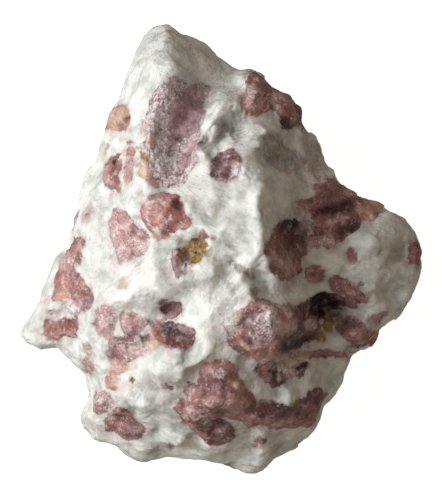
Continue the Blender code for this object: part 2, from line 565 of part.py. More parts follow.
def set_on_origin(cutters):
    """Shifts every mesh so that the origin is at the foot of the box, under its middle."""
    solids = [obj for obj in bpy.data.objects if obj is not cutters]
    corners = [vert.co for obj in solids for vert in obj.data.vertices]
    low = Vector([min(co[axis] for co in corners) for axis in range(3)])
    high = Vector([max(co[axis] for co in corners) for axis in range(3)])
    shift = Matrix.Translation((-(low.x + high.x) / 2, -(low.y + high.y) / 2, -low.z))
    for obj in (*solids, cutters):
        obj.data.transform(shift)


def jobs():
    """Every grain with the frame that its outline is drawn in and that frame's origin."""
    above = (Vector((1, 0, 0)), Vector((0, 1, 0)), UP)
    for item in UPPER:
        yield item, above, Vector()
    for number, item in enumerate(HIDDEN):
        name, kind, rise, depth, angle, share, elevation, length, width, turn = item
        outline = rough_outline(length, width, turn, number + 1)
        way = Vector((math.cos(math.radians(angle)), math.sin(math.radians(angle))))
        spot = MIDDLE + way * share * reach(math.radians(angle))
        origin = Vector((*spot, rim_height(angle)))
        yield (name, kind, rise, depth, outline), view_frame(angle, elevation), origin


def main():
    clear_scene()
    albite = body()
    tree = BVHTree.FromBMesh(albite)
    cutters = bmesh.new()
    for (name, kind, rise, depth, outline), frame, origin in jobs():
        crystal, cutter = grain(tree, frame, origin, outline, rise, depth)
        add_object(name, crystal, kind)
        mesh = bpy.data.meshes.new("cutter")
        cutter.to_mesh(mesh)
        cutter.free()
        cutters.from_mesh(mesh)
        bpy.data.meshes.remove(mesh)
    matrix = add_object("albite_matrix", albite, "white")
    sockets = add_object("sockets", cutters, "white")
    set_on_origin(sockets)
    sockets.hide_render = True
    sockets.display_type = "WIRE"
    cut = matrix.modifiers.new("sockets", "BOOLEAN")
    cut.object = sockets
    cut.operation = "DIFFERENCE"
    cut.solver = "EXACT"
    cut.use_self = True


main()
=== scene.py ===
# %% [markdown]
# # Rough tourmaline in albite
#
# The object is a broken lump of white albite, a feldspar that grows in sprays of fibres and
# blades. Rose to dark red tourmaline and a patch of lilac mica are grown into it. Nothing on it
# was made by hand, so the looks come from how stone breaks and from colour that changes grain
# by grain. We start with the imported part, which fixes the size of everything.

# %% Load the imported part
import json
import math

import bmesh
import bpy
import numpy as np
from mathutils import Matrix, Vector, kdtree, noise
from mathutils.bvhtree import BVHTree

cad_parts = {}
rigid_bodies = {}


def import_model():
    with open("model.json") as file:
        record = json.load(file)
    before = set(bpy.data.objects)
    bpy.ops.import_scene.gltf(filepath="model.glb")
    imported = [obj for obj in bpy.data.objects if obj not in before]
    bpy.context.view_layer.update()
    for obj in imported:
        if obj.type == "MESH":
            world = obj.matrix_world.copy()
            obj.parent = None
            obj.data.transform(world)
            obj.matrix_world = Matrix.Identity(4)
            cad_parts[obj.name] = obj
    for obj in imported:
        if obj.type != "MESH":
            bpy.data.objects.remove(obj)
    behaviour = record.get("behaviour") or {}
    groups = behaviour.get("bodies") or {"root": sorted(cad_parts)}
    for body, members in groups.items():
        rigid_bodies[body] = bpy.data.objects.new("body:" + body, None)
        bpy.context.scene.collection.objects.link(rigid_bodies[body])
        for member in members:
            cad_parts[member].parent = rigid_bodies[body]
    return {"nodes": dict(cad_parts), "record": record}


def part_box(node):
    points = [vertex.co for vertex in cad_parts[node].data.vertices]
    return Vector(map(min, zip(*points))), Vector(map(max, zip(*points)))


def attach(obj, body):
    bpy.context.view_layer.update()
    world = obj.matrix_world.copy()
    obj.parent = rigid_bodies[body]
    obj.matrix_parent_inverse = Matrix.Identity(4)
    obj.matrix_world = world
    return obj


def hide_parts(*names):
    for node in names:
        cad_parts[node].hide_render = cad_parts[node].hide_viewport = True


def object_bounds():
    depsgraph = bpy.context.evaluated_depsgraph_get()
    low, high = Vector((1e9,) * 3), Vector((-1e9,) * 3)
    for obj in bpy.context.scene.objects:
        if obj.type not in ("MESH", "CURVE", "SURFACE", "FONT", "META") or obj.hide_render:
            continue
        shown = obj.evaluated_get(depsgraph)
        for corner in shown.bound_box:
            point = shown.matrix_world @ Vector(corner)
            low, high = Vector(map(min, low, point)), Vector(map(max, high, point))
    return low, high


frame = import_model()
cad_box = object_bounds()
nodes = frame["nodes"]
MM = 0.001
MATRIX = "albite_matrix"
grain_names = sorted(name for name in nodes if name != MATRIX)
print("grains:", len(grain_names))

# %% [markdown]
# ## One skin over the whole stone
#
# On the real stone the crystals are grown fast in the albite, with no gap. In the part each one
# sits in a socket with a narrow slit round it. We copy all the solids, swell them until the
# slits close, remesh them as one skin and shrink that back. The Remesh and Displace modifiers
# do this well, and the skin that they leave has even, small faces to carve.

# %% Make the closed skin
SLIT_FILL = 0.55
COARSE = 0.36
FINE = 0.285
CALM_PASSES = 4


def add_object(name, mesh):
    made = bpy.data.objects.new(name, mesh)
    bpy.context.scene.collection.objects.link(made)
    return made


def merged_copy(names, name):
    """Copies of CAD nodes as one mesh, with their loose triangles joined up."""
    form = bmesh.new()
    for node in names:
        form.from_mesh(nodes[node].data)
    bmesh.ops.remove_doubles(form, verts=form.verts, dist=0.001 * MM)
    mesh = bpy.data.meshes.new(name)
    form.to_mesh(mesh)
    form.free()
    return mesh


def remesh(obj, voxel):
    step = obj.modifiers.new("remesh", "REMESH")
    step.mode = "VOXEL"
    step.voxel_size = voxel * MM


def swell(obj, distance):
    step = obj.modifiers.new("swell", "DISPLACE")
    step.mid_level = 0.0
    step.strength = distance * MM


def apply_all(obj):
    graph = bpy.context.evaluated_depsgraph_get()
    mesh = bpy.data.meshes.new_from_object(obj.evaluated_get(graph))
    obj.modifiers.clear()
    obj.data = mesh


stone = add_object("stone", merged_copy([MATRIX, *grain_names], "stone"))
remesh(stone, COARSE)
swell(stone, SLIT_FILL)
remesh(stone, COARSE)
swell(stone, -SLIT_FILL)
remesh(stone, FINE)
calm = stone.modifiers.new("calm", "SMOOTH")
calm.factor = 0.5
calm.iterations = CALM_PASSES
apply_all(stone)
print("skin:", len(stone.data.vertices), "vertices", len(stone.data.polygons), "faces")

# %% [markdown]
# ## Which mineral is where
#
# For every point of the skin we ask two things: how far it is from the nearest crystal, and how
# far from the albite. The difference is positive over a crystal, negative over albite and zero
# on the border. Stored on the mesh, it lets the materials fray the border, as on the real stone,
# where albite creeps over the crystals and rose colour creeps into the albite.

# %% Measure the borders
COLOURS = {
    "rose": (0.44, 0.22, 0.205),
    "pink": (0.62, 0.43, 0.42),
    "salmon": (0.64, 0.38, 0.31),
    "dusky": (0.33, 0.165, 0.16),
    "ember": (0.36, 0.145, 0.118),
    "plum": (0.19, 0.10, 0.105),
    "wine": (0.14, 0.058, 0.056),
    "black": (0.045, 0.024, 0.022),
    "umber": (0.30, 0.195, 0.175),
    "mauve": (0.36, 0.23, 0.245),
    "lilac": (0.52, 0.43, 0.46),
    "gold": (0.38, 0.24, 0.05),
    "peach": (0.70, 0.53, 0.40),
    # painted shade: a grey laid on slopes, creases and hollows that fall in shade
    "smoke": (0.37, 0.35, 0.32),
    "frost": (0.76, 0.73, 0.73),
    # grey-green of clear albite, also laid as painted shade that darkens the middle of the stone
    "mist": (0.55, 0.60, 0.55),
}
SUGAR = {
    "rose": 0.35, "pink": 0.7, "salmon": 0.25, "dusky": 0.3, "ember": 0.25, "plum": 0.15,
    "wine": 0.05, "black": 0.15, "umber": 0.4, "mauve": 0.15, "lilac": 1.0, "gold": 0.3,
    "peach": 0.4, "smoke": 0.1, "frost": 1.0,
    "mist": 0.5,
}
SLOT_COLOURS = {"orange": "salmon", "dark": "plum", "pale": "pink"}
slot_of = {part["node"]: part["material_slot"] for part in frame["record"]["subparts"]}


def read_points(mesh):
    flat = np.empty(len(mesh.vertices) * 3, np.float32)
    mesh.vertices.foreach_get("co", flat)
    return flat.reshape(-1, 3) / MM


def read_normals(mesh):
    flat = np.empty(len(mesh.vertices) * 3, np.float32)
    mesh.vertices.foreach_get("normal", flat)
    return flat.reshape(-1, 3)


def surface_of(names):
    """A search tree over some nodes' triangles, in millimetres, and the node of each triangle."""
    points, faces, owners = [], [], []
    for number, name in enumerate(names):
        mesh = nodes[name].data
        first = len(points)
        points.extend(Vector(p) for p in read_points(mesh))
        faces.extend(tuple(first + v for v in face.vertices) for face in mesh.polygons)
        owners.extend([number] * len(mesh.polygons))
    return BVHTree.FromPolygons(points, faces), owners


RAGGED = [(3.5, 1.5), (1.5, 0.8), (0.7, 0.4)]
ROUGHEST_GRAIN = 9.0
crystal_tree, crystal_owner = surface_of(grain_names)
albite_tree, _ = surface_of([MATRIX])
calm_edge = []
for name in grain_names:
    low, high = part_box(name)
    sides = sorted((high[k] - low[k]) / MM for k in range(3))
    calm_edge.append(min(1.0, sides[1] / ROUGHEST_GRAIN))
points = read_points(stone.data)
count = len(points)
border = np.empty(count, np.float32)
owner = np.empty(count, np.int32)
for i, p in enumerate(points):
    place = Vector(p)
    _, _, face, to_crystal = crystal_tree.find_nearest(place)
    _, _, _, to_albite = albite_tree.find_nearest(place)
    ragged = sum(noise.noise(place / span) * reach for span, reach in RAGGED)
    border[i] = to_albite - to_crystal + ragged * calm_edge[crystal_owner[face]]
    owner[i] = crystal_owner[face]
print("over crystals: %.1f %% of the skin" % (100 * (border > 0).mean()))

# %% [markdown]
# ## Colour, crystal by crystal
#
# No two crystals have the same red, and most are darker at one end, frosted with white or
# stained along the edge. We lay the colour on as soft ovals seen from above, as a painter
# would: first the ground of a crystal, then its darker and lighter places. Each line is the
# middle in millimetres, half the length, half the width, the turn in degrees, how strongly it
# covers and the name of the colour. Noise bends the ovals, so none looks drawn.

# %% The ovals of colour
# Some ovals are painted light and shade: grey painted shade on slopes, creases and hollows, black
# painted shadow in deep pockets, and frost and pink that lift a place in shade
BLOOMS = [
    # the salmon knob and the streak below it
    (-14.9, 19.3, 1.8, 2.0, 0, 1, "salmon"),
    (-16.4, 19.4, 1.2, 1.9, 0, 1, "salmon"),
    (-15.8, 19.9, 0.9, 1.2, 70, 0.5, "pink"),
    (-15.0, 19.4, 1.4, 1.5, 0, 0.5, "pink"),
    (-14.0, 18.3, 0.7, 1.0, 40, 0.6, "rose"),
    (-15.2, 19.3, 1.5, 1.5, 0, 0.55, "peach"),
    (-13.4, 19.2, 0.3, 0.3, 0, 0.9, "wine"),
    (-17.1, 14.8, 1.3, 0.4, 70, 0.6, "salmon"),
    (-14.3, 16.3, 0.9, 0.4, 20, 0.5, "pink"),
    # the brown sliver in its recess
    (-15.8, 12.2, 1.2, 1.3, 30, 0.95, "dusky"),
    (-15.6, 10.0, 1.8, 0.7, -65, 0.95, "ember"),
    (-15.2, 9.0, 0.9, 0.4, -60, 0.7, "rose"),
    (-15.6, 10.6, 1.8, 0.8, -65, 0.35, "plum"),
    (-15.8, 12.9, 0.3, 0.3, 0, 1, "black"),
    (-14.9, 13.1, 0.7, 0.6, 20, 0.6, "rose"),
    # stains between the sliver and the mica
    (-13.4, 12.3, 2.8, 1.0, 80, 0.75, "pink"),
    (-13.7, 11.0, 0.7, 1.2, 0, 0.75, "rose"),
    (-13.2, 14.4, 0.8, 0.8, 0, 0.7, "rose"),
    (-13.3, 15.8, 0.6, 0.6, 0, 0.7, "mauve"),
    (-10.4, 10.8, 2.0, 1.1, -45, 0.85, "peach"),
    (-9.8, 9.9, 1.3, 0.8, -50, 0.8, "rose"),
    (-10.6, 12.2, 0.8, 0.6, -50, 0.8, "salmon"),
    (-11.8, 12.6, 0.7, 0.5, 0, 0.6, "rose"),
    (-10.2, 16.0, 1.5, 0.9, 60, 0.7, "peach"),
    (-11.2, 17.6, 1.2, 0.8, 70, 0.6, "pink"),
    (-11.2, 13.6, 1.0, 0.5, -60, 0.95, "gold"),
    (-12.1, 15.0, 0.8, 0.5, 0, 0.6, "gold"),
    # the mica: a smooth mauve face above, sugar below
    (-8.8, 21.5, 3.2, 0.9, 75, 0.7, "lilac"),
    (-5.0, 20.9, 3.9, 1.9, 56, 1, "mauve"),
    (-3.9, 22.6, 1.8, 1.2, 30, 0.8, "mauve"),
    (-3.5, 20.1, 1.2, 0.7, 60, 0.6, "umber"),
    (-1.9, 21.8, 1.5, 0.9, 60, 0.5, "lilac"),
    (-6.4, 14.5, 3.2, 2.5, 40, 0.9, "lilac"),
    (-8.0, 11.6, 2.3, 1.8, -20, 0.9, "lilac"),
    (-5.5, 17.0, 1.0, 0.6, -30, 0.9, "mauve"),
    (-4.1, 15.3, 0.9, 0.9, 0, 0.8, "mauve"),
    (-5.0, 12.6, 1.0, 0.7, 60, 0.8, "mauve"),
    (-7.2, 15.7, 1.3, 0.6, 75, 0.7, "mauve"),
    (-3.5, 17.7, 1.0, 0.6, 40, 0.7, "mauve"),
    (-4.2, 19.4, 2.6, 1.5, 60, 0.8, "mauve"),
    (-6.2, 16.2, 0.7, 0.5, 0, 0.8, "plum"),
    (-4.9, 13.8, 0.6, 0.5, 30, 0.7, "plum"),
    (-8.0, 13.9, 0.5, 0.5, 0, 0.7, "plum"),
    (-6.0, 11.2, 0.5, 0.4, 0, 0.7, "plum"),
    (-9.1, 13.1, 1.2, 1.3, 0, 0.8, "frost"),
    (-7.2, 12.8, 1.3, 1.0, 0, 0.6, "frost"),
    (-9.9, 17.7, 1.5, 0.4, 70, 0.6, "frost"),
    (-6.6, 10.1, 1.2, 0.7, 0, 0.6, "lilac"),
    (-8.3, 16.7, 1.5, 0.3, 80, 0.7, "frost"),
    # the round pocket, the eye of the stone
    (0.6, 11.9, 2.1, 2.0, 0, 0.9, "lilac"),
    (0.4, 12.0, 1.6, 1.5, 0, 1, "plum"),
    (0.4, 11.9, 0.9, 0.7, 20, 0.9, "mauve"),
    (-1.0, 11.1, 0.7, 0.6, 0, 0.95, "umber"),
    (0.7, 10.5, 0.6, 0.5, 0, 0.9, "plum"),
    (1.6, 13.2, 0.6, 0.4, 0, 0.9, "plum"),
    (2.0, 11.3, 0.5, 0.8, 0, 0.7, "frost"),
    (2.3, 12.6, 0.5, 0.4, 0, 0.8, "umber"),
    (-0.3, 13.4, 0.5, 0.4, 0, 0.9, "black"),
    (3.4, 11.3, 0.3, 0.4, 0, 0.9, "frost"),
    # the lobed shoulder
    (5.4, 24.2, 2.3, 1.2, -50, 0.9, "dusky"),
    (4.5, 21.2, 1.8, 1.7, 0, 1, "salmon"),
    (4.2, 21.8, 1.4, 0.8, 50, 0.8, "pink"),
    (3.9, 20.3, 1.0, 0.6, 30, 0.5, "rose"),
    (5.0, 20.8, 0.5, 0.3, 40, 0.8, "frost"),
    # painted light: this frost and the pink oval at 5.0, 22.5 lift a place that the shoulder's own shape
    # leaves in shade
    (5.2, 22.5, 1.1, 0.8, 40, 0.6, "frost"),
    (4.4, 21.5, 0.4, 1.0, 60, 0.8, "pink"),
    (5.4, 22.3, 0.4, 0.9, 50, 0.7, "salmon"),
    (7.3, 22.6, 1.5, 1.0, -40, 0.9, "pink"),
    # painted light: pink that lifts the shaded side of the shoulder
    (5.0, 22.5, 1.7, 1.4, -40, 0.9, "pink"),
    (7.0, 23.4, 1.0, 0.4, -30, 0.7, "rose"),
    # painted shade in grey on the shoulder's far side
    (8.6, 20.9, 1.5, 1.0, -30, 0.7, "smoke"),
    (8.9, 23.7, 1.9, 0.7, -42, 0.9, "dusky"),
    (10.1, 20.4, 2.5, 1.4, -65, 1, "rose"),
    (10.5, 21.2, 1.0, 0.6, -60, 0.7, "salmon"),
    (9.5, 18.6, 1.2, 0.9, 0, 1, "wine"),
    (11.2, 19.2, 1.2, 0.6, -70, 0.9, "dusky"),
    (7.6, 25.0, 2.8, 1.0, -52, 1, "dusky"),
    (11.3, 21.8, 2.6, 1.0, -65, 1, "dusky"),
    (12.4, 18.6, 1.5, 0.8, -70, 1, "wine"),
    # painted shade in grey on the upper right slope, and lilac tints along the upper right edge
    (7.6, 14.8, 2.8, 2.0, -70, 0.6, "smoke"),
    (9.8, 13.1, 2.6, 2.0, -50, 0.6, "smoke"),
    (14.0, 14.0, 4.4, 1.6, -64, 0.5, "mauve"),
    (13.6, 11.6, 2.0, 1.0, -50, 0.6, "pink"),
    (12.8, 13.5, 1.2, 1.2, 0, 0.5, "mauve"),
    (14.3, 13.4, 0.9, 0.6, 0, 0.6, "lilac"),
    (14.9, 11.3, 0.9, 0.9, 0, 0.9, "frost"),
    (12.4, 9.9, 1.5, 1.0, 30, 0.5, "lilac"),
    (11.7, 10.9, 0.7, 0.6, 0, 0.5, "smoke"),
    (10.7, 8.4, 1.2, 0.9, 0, 0.5, "frost"),
    (11.7, 6.3, 2.0, 1.2, 40, 0.6, "mauve"),
    (10.8, 6.1, 0.9, 0.6, 40, 0.5, "pink"),
    # the big group of parallel prisms
    (16.4, 8.2, 3.2, 1.5, -25, 1, "dusky"),
    (13.4, 6.6, 1.8, 1.3, 20, 0.9, "dusky"),
    (19.0, 7.2, 2.3, 0.9, -15, 1, "dusky"),
    (16.9, 6.1, 3.6, 0.9, 12, 1, "wine"),
    (15.6, 3.7, 2.6, 1.6, 10, 1, "dusky"),
    (15.3, 3.4, 1.2, 0.7, 10, 0.8, "rose"),
    (16.5, 4.0, 1.2, 0.4, 30, 0.5, "pink"),
    (19.0, 3.4, 2.3, 1.0, 35, 1, "wine"),
    (18.5, 2.9, 1.6, 0.6, 35, 0.6, "black"),
    (15.7, 5.6, 1.9, 0.5, 12, 0.7, "black"),
    (14.6, 1.4, 2.5, 1.1, 4, 1, "pink"),
    (14.8, 1.6, 2.0, 0.4, 4, 0.5, "rose"),
    (15.3, 3.0, 2.0, 0.9, 10, 0.6, "rose"),
    (14.2, 2.2, 1.6, 0.3, 8, 0.8, "plum"),
    (14.9, 1.5, 1.3, 0.2, 15, 0.8, "pink"),
    (13.0, 4.0, 0.7, 1.0, 0, 0.6, "lilac"),
    (12.4, 5.4, 1.5, 1.1, 40, 0.6, "pink"),
    (12.3, 4.6, 0.7, 0.9, 0, 0.8, "frost"),
    (21.3, 5.5, 1.5, 1.3, 0, 1, "salmon"),
    (22.5, 6.3, 1.0, 0.7, -35, 0.9, "salmon"),
    (20.7, 4.6, 0.7, 0.7, 0, 0.7, "rose"),
    (17.9, 9.3, 2.6, 1.0, -28, 1, "dusky"),
    (20.9, 8.1, 2.3, 0.9, -20, 1, "ember"),
    (23.2, 6.7, 1.3, 0.7, -30, 1, "salmon"),
    (22.0, 5.9, 1.9, 1.3, -25, 0.5, "ember"),
    # the dark six-sided crystal; the black in its middle is painted shade where it dips
    (9.6, 2.0, 2.9, 2.0, 35, 1, "plum"),
    (10.2, 3.0, 1.5, 1.6, 0, 1, "black"),
    (11.2, 1.4, 1.8, 1.2, -40, 1, "wine"),
    (7.6, 0.5, 1.8, 1.2, 35, 1, "dusky"),
    (10.2, -0.5, 2.6, 1.3, 8, 1, "plum"),
    (9.3, -2.4, 2.5, 1.6, -12, 1, "dusky"),
    (8.2, -1.8, 1.0, 0.6, -20, 0.7, "pink"),
    (10.2, -2.7, 1.2, 0.4, 30, 0.6, "pink"),
    (9.3, -3.9, 1.2, 0.7, 0, 0.9, "dusky"),
    (9.0, -2.4, 2.2, 1.3, -12, 0.9, "rose"),
    (9.0, -2.1, 1.6, 0.6, -12, 0.5, "pink"),
    (9.4, -3.2, 1.4, 0.4, -12, 0.8, "dusky"),
    (8.4, -1.2, 1.2, 0.3, 10, 0.8, "dusky"),
    (12.1, 3.1, 0.9, 1.0, 0, 0.8, "mauve"),
    # grains on the right lobe
    (13.7, -3.6, 1.5, 1.6, 0, 0.85, "dusky"),
    (13.4, -4.5, 0.9, 0.7, 0, 0.6, "salmon"),
    (19.4, -0.8, 1.6, 0.9, -75, 0.75, "dusky"),
    (28.5, -0.5, 1.9, 0.9, -85, 0.9, "dusky"),
    (29.3, -0.6, 2.0, 1.0, -85, 1, "dusky"),
    (28.0, -1.8, 0.7, 0.7, 0, 0.5, "rose"),
    # painted shade: grey on the right lobe, which lies in shade
    (25.6, -0.4, 2.6, 0.7, 5, 0.35, "smoke"),
    (23.4, -2.0, 1.3, 1.0, 0, 0.35, "smoke"),
    (20.7, -0.4, 1.2, 0.6, -20, 0.4, "smoke"),
    (17.5, -5.3, 1.9, 1.2, -35, 1, "dusky"),
    (19.3, -6.8, 1.8, 0.9, -55, 0.9, "dusky"),
    (20.6, -5.0, 0.6, 0.7, 0, 0.8, "smoke"),
    (24.1, -4.0, 1.0, 0.4, 40, 0.5, "umber"),
    # the red lump at the notch and the band below
    (19.3, -11.8, 2.3, 1.9, -30, 1, "dusky"),
    (19.1, -10.9, 0.9, 0.7, 0, 0.9, "wine"),
    (21.2, -12.9, 1.5, 1.2, -20, 1, "dusky"),
    (22.8, -13.2, 1.7, 1.2, -20, 1, "dusky"),
    (19.9, -12.5, 0.7, 0.6, 0, 0.6, "rose"),
    (23.7, -9.9, 2.0, 0.9, 35, 0.65, "dusky"),
    (24.5, -9.1, 0.9, 0.6, 35, 0.5, "pink"),
    (22.0, -10.4, 0.4, 0.4, 0, 0.7, "gold"),
    (14.3, -15.4, 2.5, 0.7, 0, 1, "dusky"),
    (17.5, -15.7, 1.8, 0.6, -8, 0.7, "rose"),
    (11.4, -15.6, 1.2, 0.9, 0, 0.7, "peach"),
    (12.8, -13.7, 0.6, 1.0, 0, 0.7, "pink"),
    # the speckled patch
    (8.8, -16.1, 3.1, 1.4, 5, 0.85, "pink"),
    (9.8, -17.2, 2.2, 1.2, 0, 0.8, "peach"),
    (6.3, -17.3, 1.3, 1.3, 0, 0.9, "rose"),
    (8.8, -17.4, 2.0, 1.3, 0, 0.55, "frost"),
    (8.6, -16.6, 0.8, 0.5, 0, 0.7, "umber"),
    (9.6, -18.4, 0.6, 0.5, 0, 0.9, "plum"),
    (7.2, -17.6, 0.4, 0.5, 0, 0.9, "black"),
    (6.6, -19.1, 0.7, 0.9, 0, 0.6, "rose"),
    (10.4, -17.6, 1.8, 1.0, 20, 0.6, "pink"),
    (7.9, -18.0, 1.3, 0.35, 85, 1, "black"),
    (8.9, -17.9, 0.9, 0.25, 60, 0.9, "black"),
    (8.5, -18.7, 0.3, 0.5, 0, 0.9, "frost"),
    (7.7, -16.4, 0.4, 0.6, 0, 0.9, "black"),
    (11.9, -17.1, 1.1, 0.35, 30, 1, "black"),
    (9.6, -15.0, 0.7, 0.4, 0, 0.8, "plum"),
    (9.2, -17.5, 0.4, 0.6, 0, 0.7, "frost"),
    (10.2, -16.3, 0.7, 0.4, 0, 0.6, "pink"),
    # painted shade in grey beside the speckled patch
    (14.3, -18.8, 1.3, 1.3, 0, 0.4, "smoke"),
    (5.4, -18.3, 0.7, 0.4, -50, 0.5, "smoke"),
    # the heart, a many-faced crystal with a bright middle
    (5.6, -11.5, 5.2, 3.8, 5, 1, "dusky"),
    (8.6, -10.2, 3.2, 2.6, -20, 1, "rose"),
    (4.0, -13.4, 2.6, 1.3, -50, 1, "rose"),
    (6.4, -14.4, 3.4, 1.0, 14, 1, "rose"),
    (3.4, -10.6, 2.2, 1.4, 60, 0.8, "dusky"),
    (4.6, -10.6, 1.6, 2.0, -15, 0.9, "mauve"),
    (6.8, -10.7, 1.9, 2.5, -25, 0.8, "lilac"),
    (7.0, -10.3, 1.3, 1.9, -25, 0.6, "frost"),
    (8.9, -11.2, 1.9, 1.1, 10, 0.7, "pink"),
    (9.0, -11.5, 1.1, 0.7, 20, 0.6, "peach"),
    (10.1, -9.6, 2.1, 1.3, -25, 1, "rose"),
    (11.4, -9.4, 1.3, 1.4, 0, 0.8, "ember"),
    (9.0, -8.6, 1.1, 0.4, -30, 0.9, "pink"),
    (10.3, -10.9, 1.3, 0.6, 30, 0.8, "pink"),
    (9.8, -9.4, 0.6, 0.4, 0, 0.8, "frost"),
    (7.0, -13.7, 2.8, 0.9, 10, 0.9, "rose"),
    (6.4, -13.3, 1.6, 0.5, 8, 0.7, "pink"),
    (3.9, -13.0, 1.1, 1.1, 0, 0.8, "dusky"),
    (3.6, -13.3, 1.2, 0.8, -45, 0.6, "plum"),
    (6.6, -15.2, 3.3, 0.35, 12, 1, "salmon"),
    (3.6, -13.9, 1.6, 0.35, -48, 1, "salmon"),
    (5.2, -14.0, 1.2, 0.25, 10, 0.8, "frost"),
    (4.4, -12.4, 1.0, 0.2, -70, 0.95, "frost"),
    (1.6, -10.6, 1.2, 1.3, -45, 0.9, "umber"),
    (1.0, -10.3, 0.4, 0.4, 0, 0.8, "frost"),
    (6.6, -8.1, 1.4, 0.5, -30, 0.8, "pink"),
    (4.6, -8.2, 1.0, 0.5, 0, 0.9, "rose"),
    # the near black hollow beside the heart: dark wine crystal, with black as painted shadow where its
    # pockets sink, and grey painted shade
    (12.9, -9.1, 2.2, 1.9, 0, 1, "wine"),
    (15.3, -7.8, 2.3, 1.6, 10, 1, "black"),
    (14.9, -9.3, 1.0, 0.9, 0, 1, "black"),
    (18.5, -7.8, 2.2, 0.6, -25, 1, "plum"),
    (12.3, -11.4, 1.3, 1.8, 0, 1, "wine"),
    (10.5, -13.4, 2.3, 1.3, 20, 1, "wine"),
    (10.4, -13.5, 1.6, 0.9, 15, 1, "black"),
    (13.4, -12.3, 1.5, 1.2, 0, 1, "wine"),
    (13.2, -10.8, 1.1, 0.9, 0, 0.7, "lilac"),
    (17.5, -10.6, 0.7, 1.3, 0, 0.7, "smoke"),
    (15.9, -11.0, 0.9, 1.2, 0, 1, "gold"),
    (14.7, -12.9, 1.3, 0.7, 65, 0.8, "gold"),
    (16.8, -9.6, 0.9, 0.6, 0, 0.7, "umber"),
    # the foot mass and its long curved band
    (-0.9, -17.7, 2.3, 1.9, 0, 1, "rose"),
    (-0.3, -17.9, 0.7, 0.9, 0, 0.8, "pink"),
    (0.0, -17.7, 0.2, 0.7, 0, 0.9, "frost"),
    (1.2, -17.0, 1.3, 0.9, -40, 1, "rose"),
    (-2.0, -19.9, 1.6, 1.9, 0, 1, "dusky"),
    (1.6, -21.1, 3.7, 2.0, -28, 1, "rose"),
    (-0.6, -20.0, 2.2, 1.4, -20, 1, "dusky"),
    (-0.9, -19.7, 1.7, 1.0, -20, 0.5, "plum"),
    (0.4, -21.7, 1.6, 0.6, -28, 0.6, "wine"),
    (3.0, -22.8, 2.0, 1.0, -20, 0.8, "salmon"),
    (2.9, -22.6, 1.2, 0.5, -20, 0.6, "pink"),
    (2.5, -19.6, 1.5, 0.6, -35, 0.7, "peach"),
    (-4.2, -20.2, 1.2, 1.0, 0, 0.85, "dusky"),
    (-0.6, -23.0, 2.9, 1.3, -8, 1, "dusky"),
    (0.7, -22.4, 1.0, 0.4, -20, 0.7, "pink"),
    (-4.4, -22.7, 2.3, 1.2, -15, 1, "rose"),
    (-1.0, -23.7, 1.8, 0.7, 0, 0.7, "umber"),
    (-3.4, -24.8, 4.2, 1.4, -38, 1, "rose"),
    (-4.4, -24.6, 1.6, 0.5, -38, 0.7, "dusky"),
    (-4.2, -23.7, 1.2, 0.7, -30, 0.6, "pink"),
    (-3.0, -24.8, 2.0, 0.8, -38, 0.7, "pink"),
    (-1.9, -24.9, 1.7, 0.8, -20, 0.9, "pink"),
    (-0.6, -26.2, 2.6, 1.5, -12, 1, "plum"),
    (0.6, -25.8, 1.3, 1.0, -20, 1, "plum"),
    (4.2, -23.9, 1.6, 1.0, 0, 1, "dusky"),
    (7.3, -23.9, 3.2, 1.3, -3, 1, "plum"),
    (11.8, -23.6, 3.2, 1.6, 22, 1, "plum"),
    (14.0, -21.7, 1.6, 1.2, 55, 1, "wine"),
    (10.2, -25.2, 3.8, 0.7, 3, 1, "dusky"),
    (4.4, -24.9, 1.8, 0.6, -12, 0.8, "rose"),
    (4.5, -22.9, 0.4, 0.9, 0, 0.8, "wine"),
    (9.2, -23.0, 2.0, 0.4, -12, 0.8, "wine"),
    (13.4, -23.7, 1.2, 1.2, 40, 0.6, "dusky"),
    (11.2, -22.4, 0.4, 0.4, 0, 0.7, "gold"),
    (6.1, -22.1, 0.9, 0.4, 0, 0.6, "mauve"),
    (10.2, -22.7, 0.6, 0.4, 0, 0.6, "lilac"),
    # small spots near the foot
    (5.8, -28.4, 1.2, 0.6, 10, 0.8, "dusky"),
    (5.1, -29.3, 0.7, 0.4, 0, 0.6, "dusky"),
    (-7.4, -29.1, 0.4, 0.7, 20, 1, "mauve"),
    (-4.7, -19.2, 0.2, 0.2, 0, 1, "black"),
    (-7.9, -19.9, 1.2, 0.6, -15, 0.8, "dusky"),
    (-9.8, -20.4, 0.6, 0.3, 20, 0.6, "rose"),
    (-10.2, -26.1, 0.6, 0.3, 0, 0.5, "rose"),
    # the lower left grains
    (-17.4, -22.3, 1.7, 1.7, 0, 1, "pink"),
    (-17.3, -22.0, 1.2, 1.1, 0, 0.3, "frost"),
    (-16.4, -24.6, 0.7, 0.7, 0, 0.9, "pink"),
    (-16.5, -25.8, 1.0, 0.6, 0, 0.9, "dusky"),
    (-14.2, -24.9, 2.2, 1.3, -45, 1, "dusky"),
    (-12.6, -26.4, 1.6, 1.0, -20, 1, "mauve"),
    (-15.3, -24.2, 0.7, 0.6, 0, 0.7, "rose"),
    (-18.2, -26.4, 2.3, 1.2, -30, 0.25, "rose"),
    # the cluster at the middle left
    (-16.9, -10.3, 1.9, 2.6, 0, 0.85, "pink"),
    (-18.2, -11.0, 0.6, 0.7, 0, 0.8, "dusky"),
    (-16.4, -12.5, 1.2, 0.7, 20, 0.7, "salmon"),
    (-18.4, -9.7, 0.3, 0.3, 0, 1, "frost"),
    (-15.3, -10.0, 0.4, 1.5, 0, 0.5, "frost"),
    (-12.6, -10.7, 1.9, 1.7, -15, 1, "pink"),
    (-12.9, -11.4, 1.2, 1.2, -15, 0.6, "mauve"),
    (-12.3, -10.0, 1.5, 0.6, -10, 0.7, "rose"),
    (-13.1, -12.3, 0.9, 1.0, 0, 1, "mauve"),
    (-10.8, -12.3, 1.3, 1.2, 0, 0.9, "frost"),
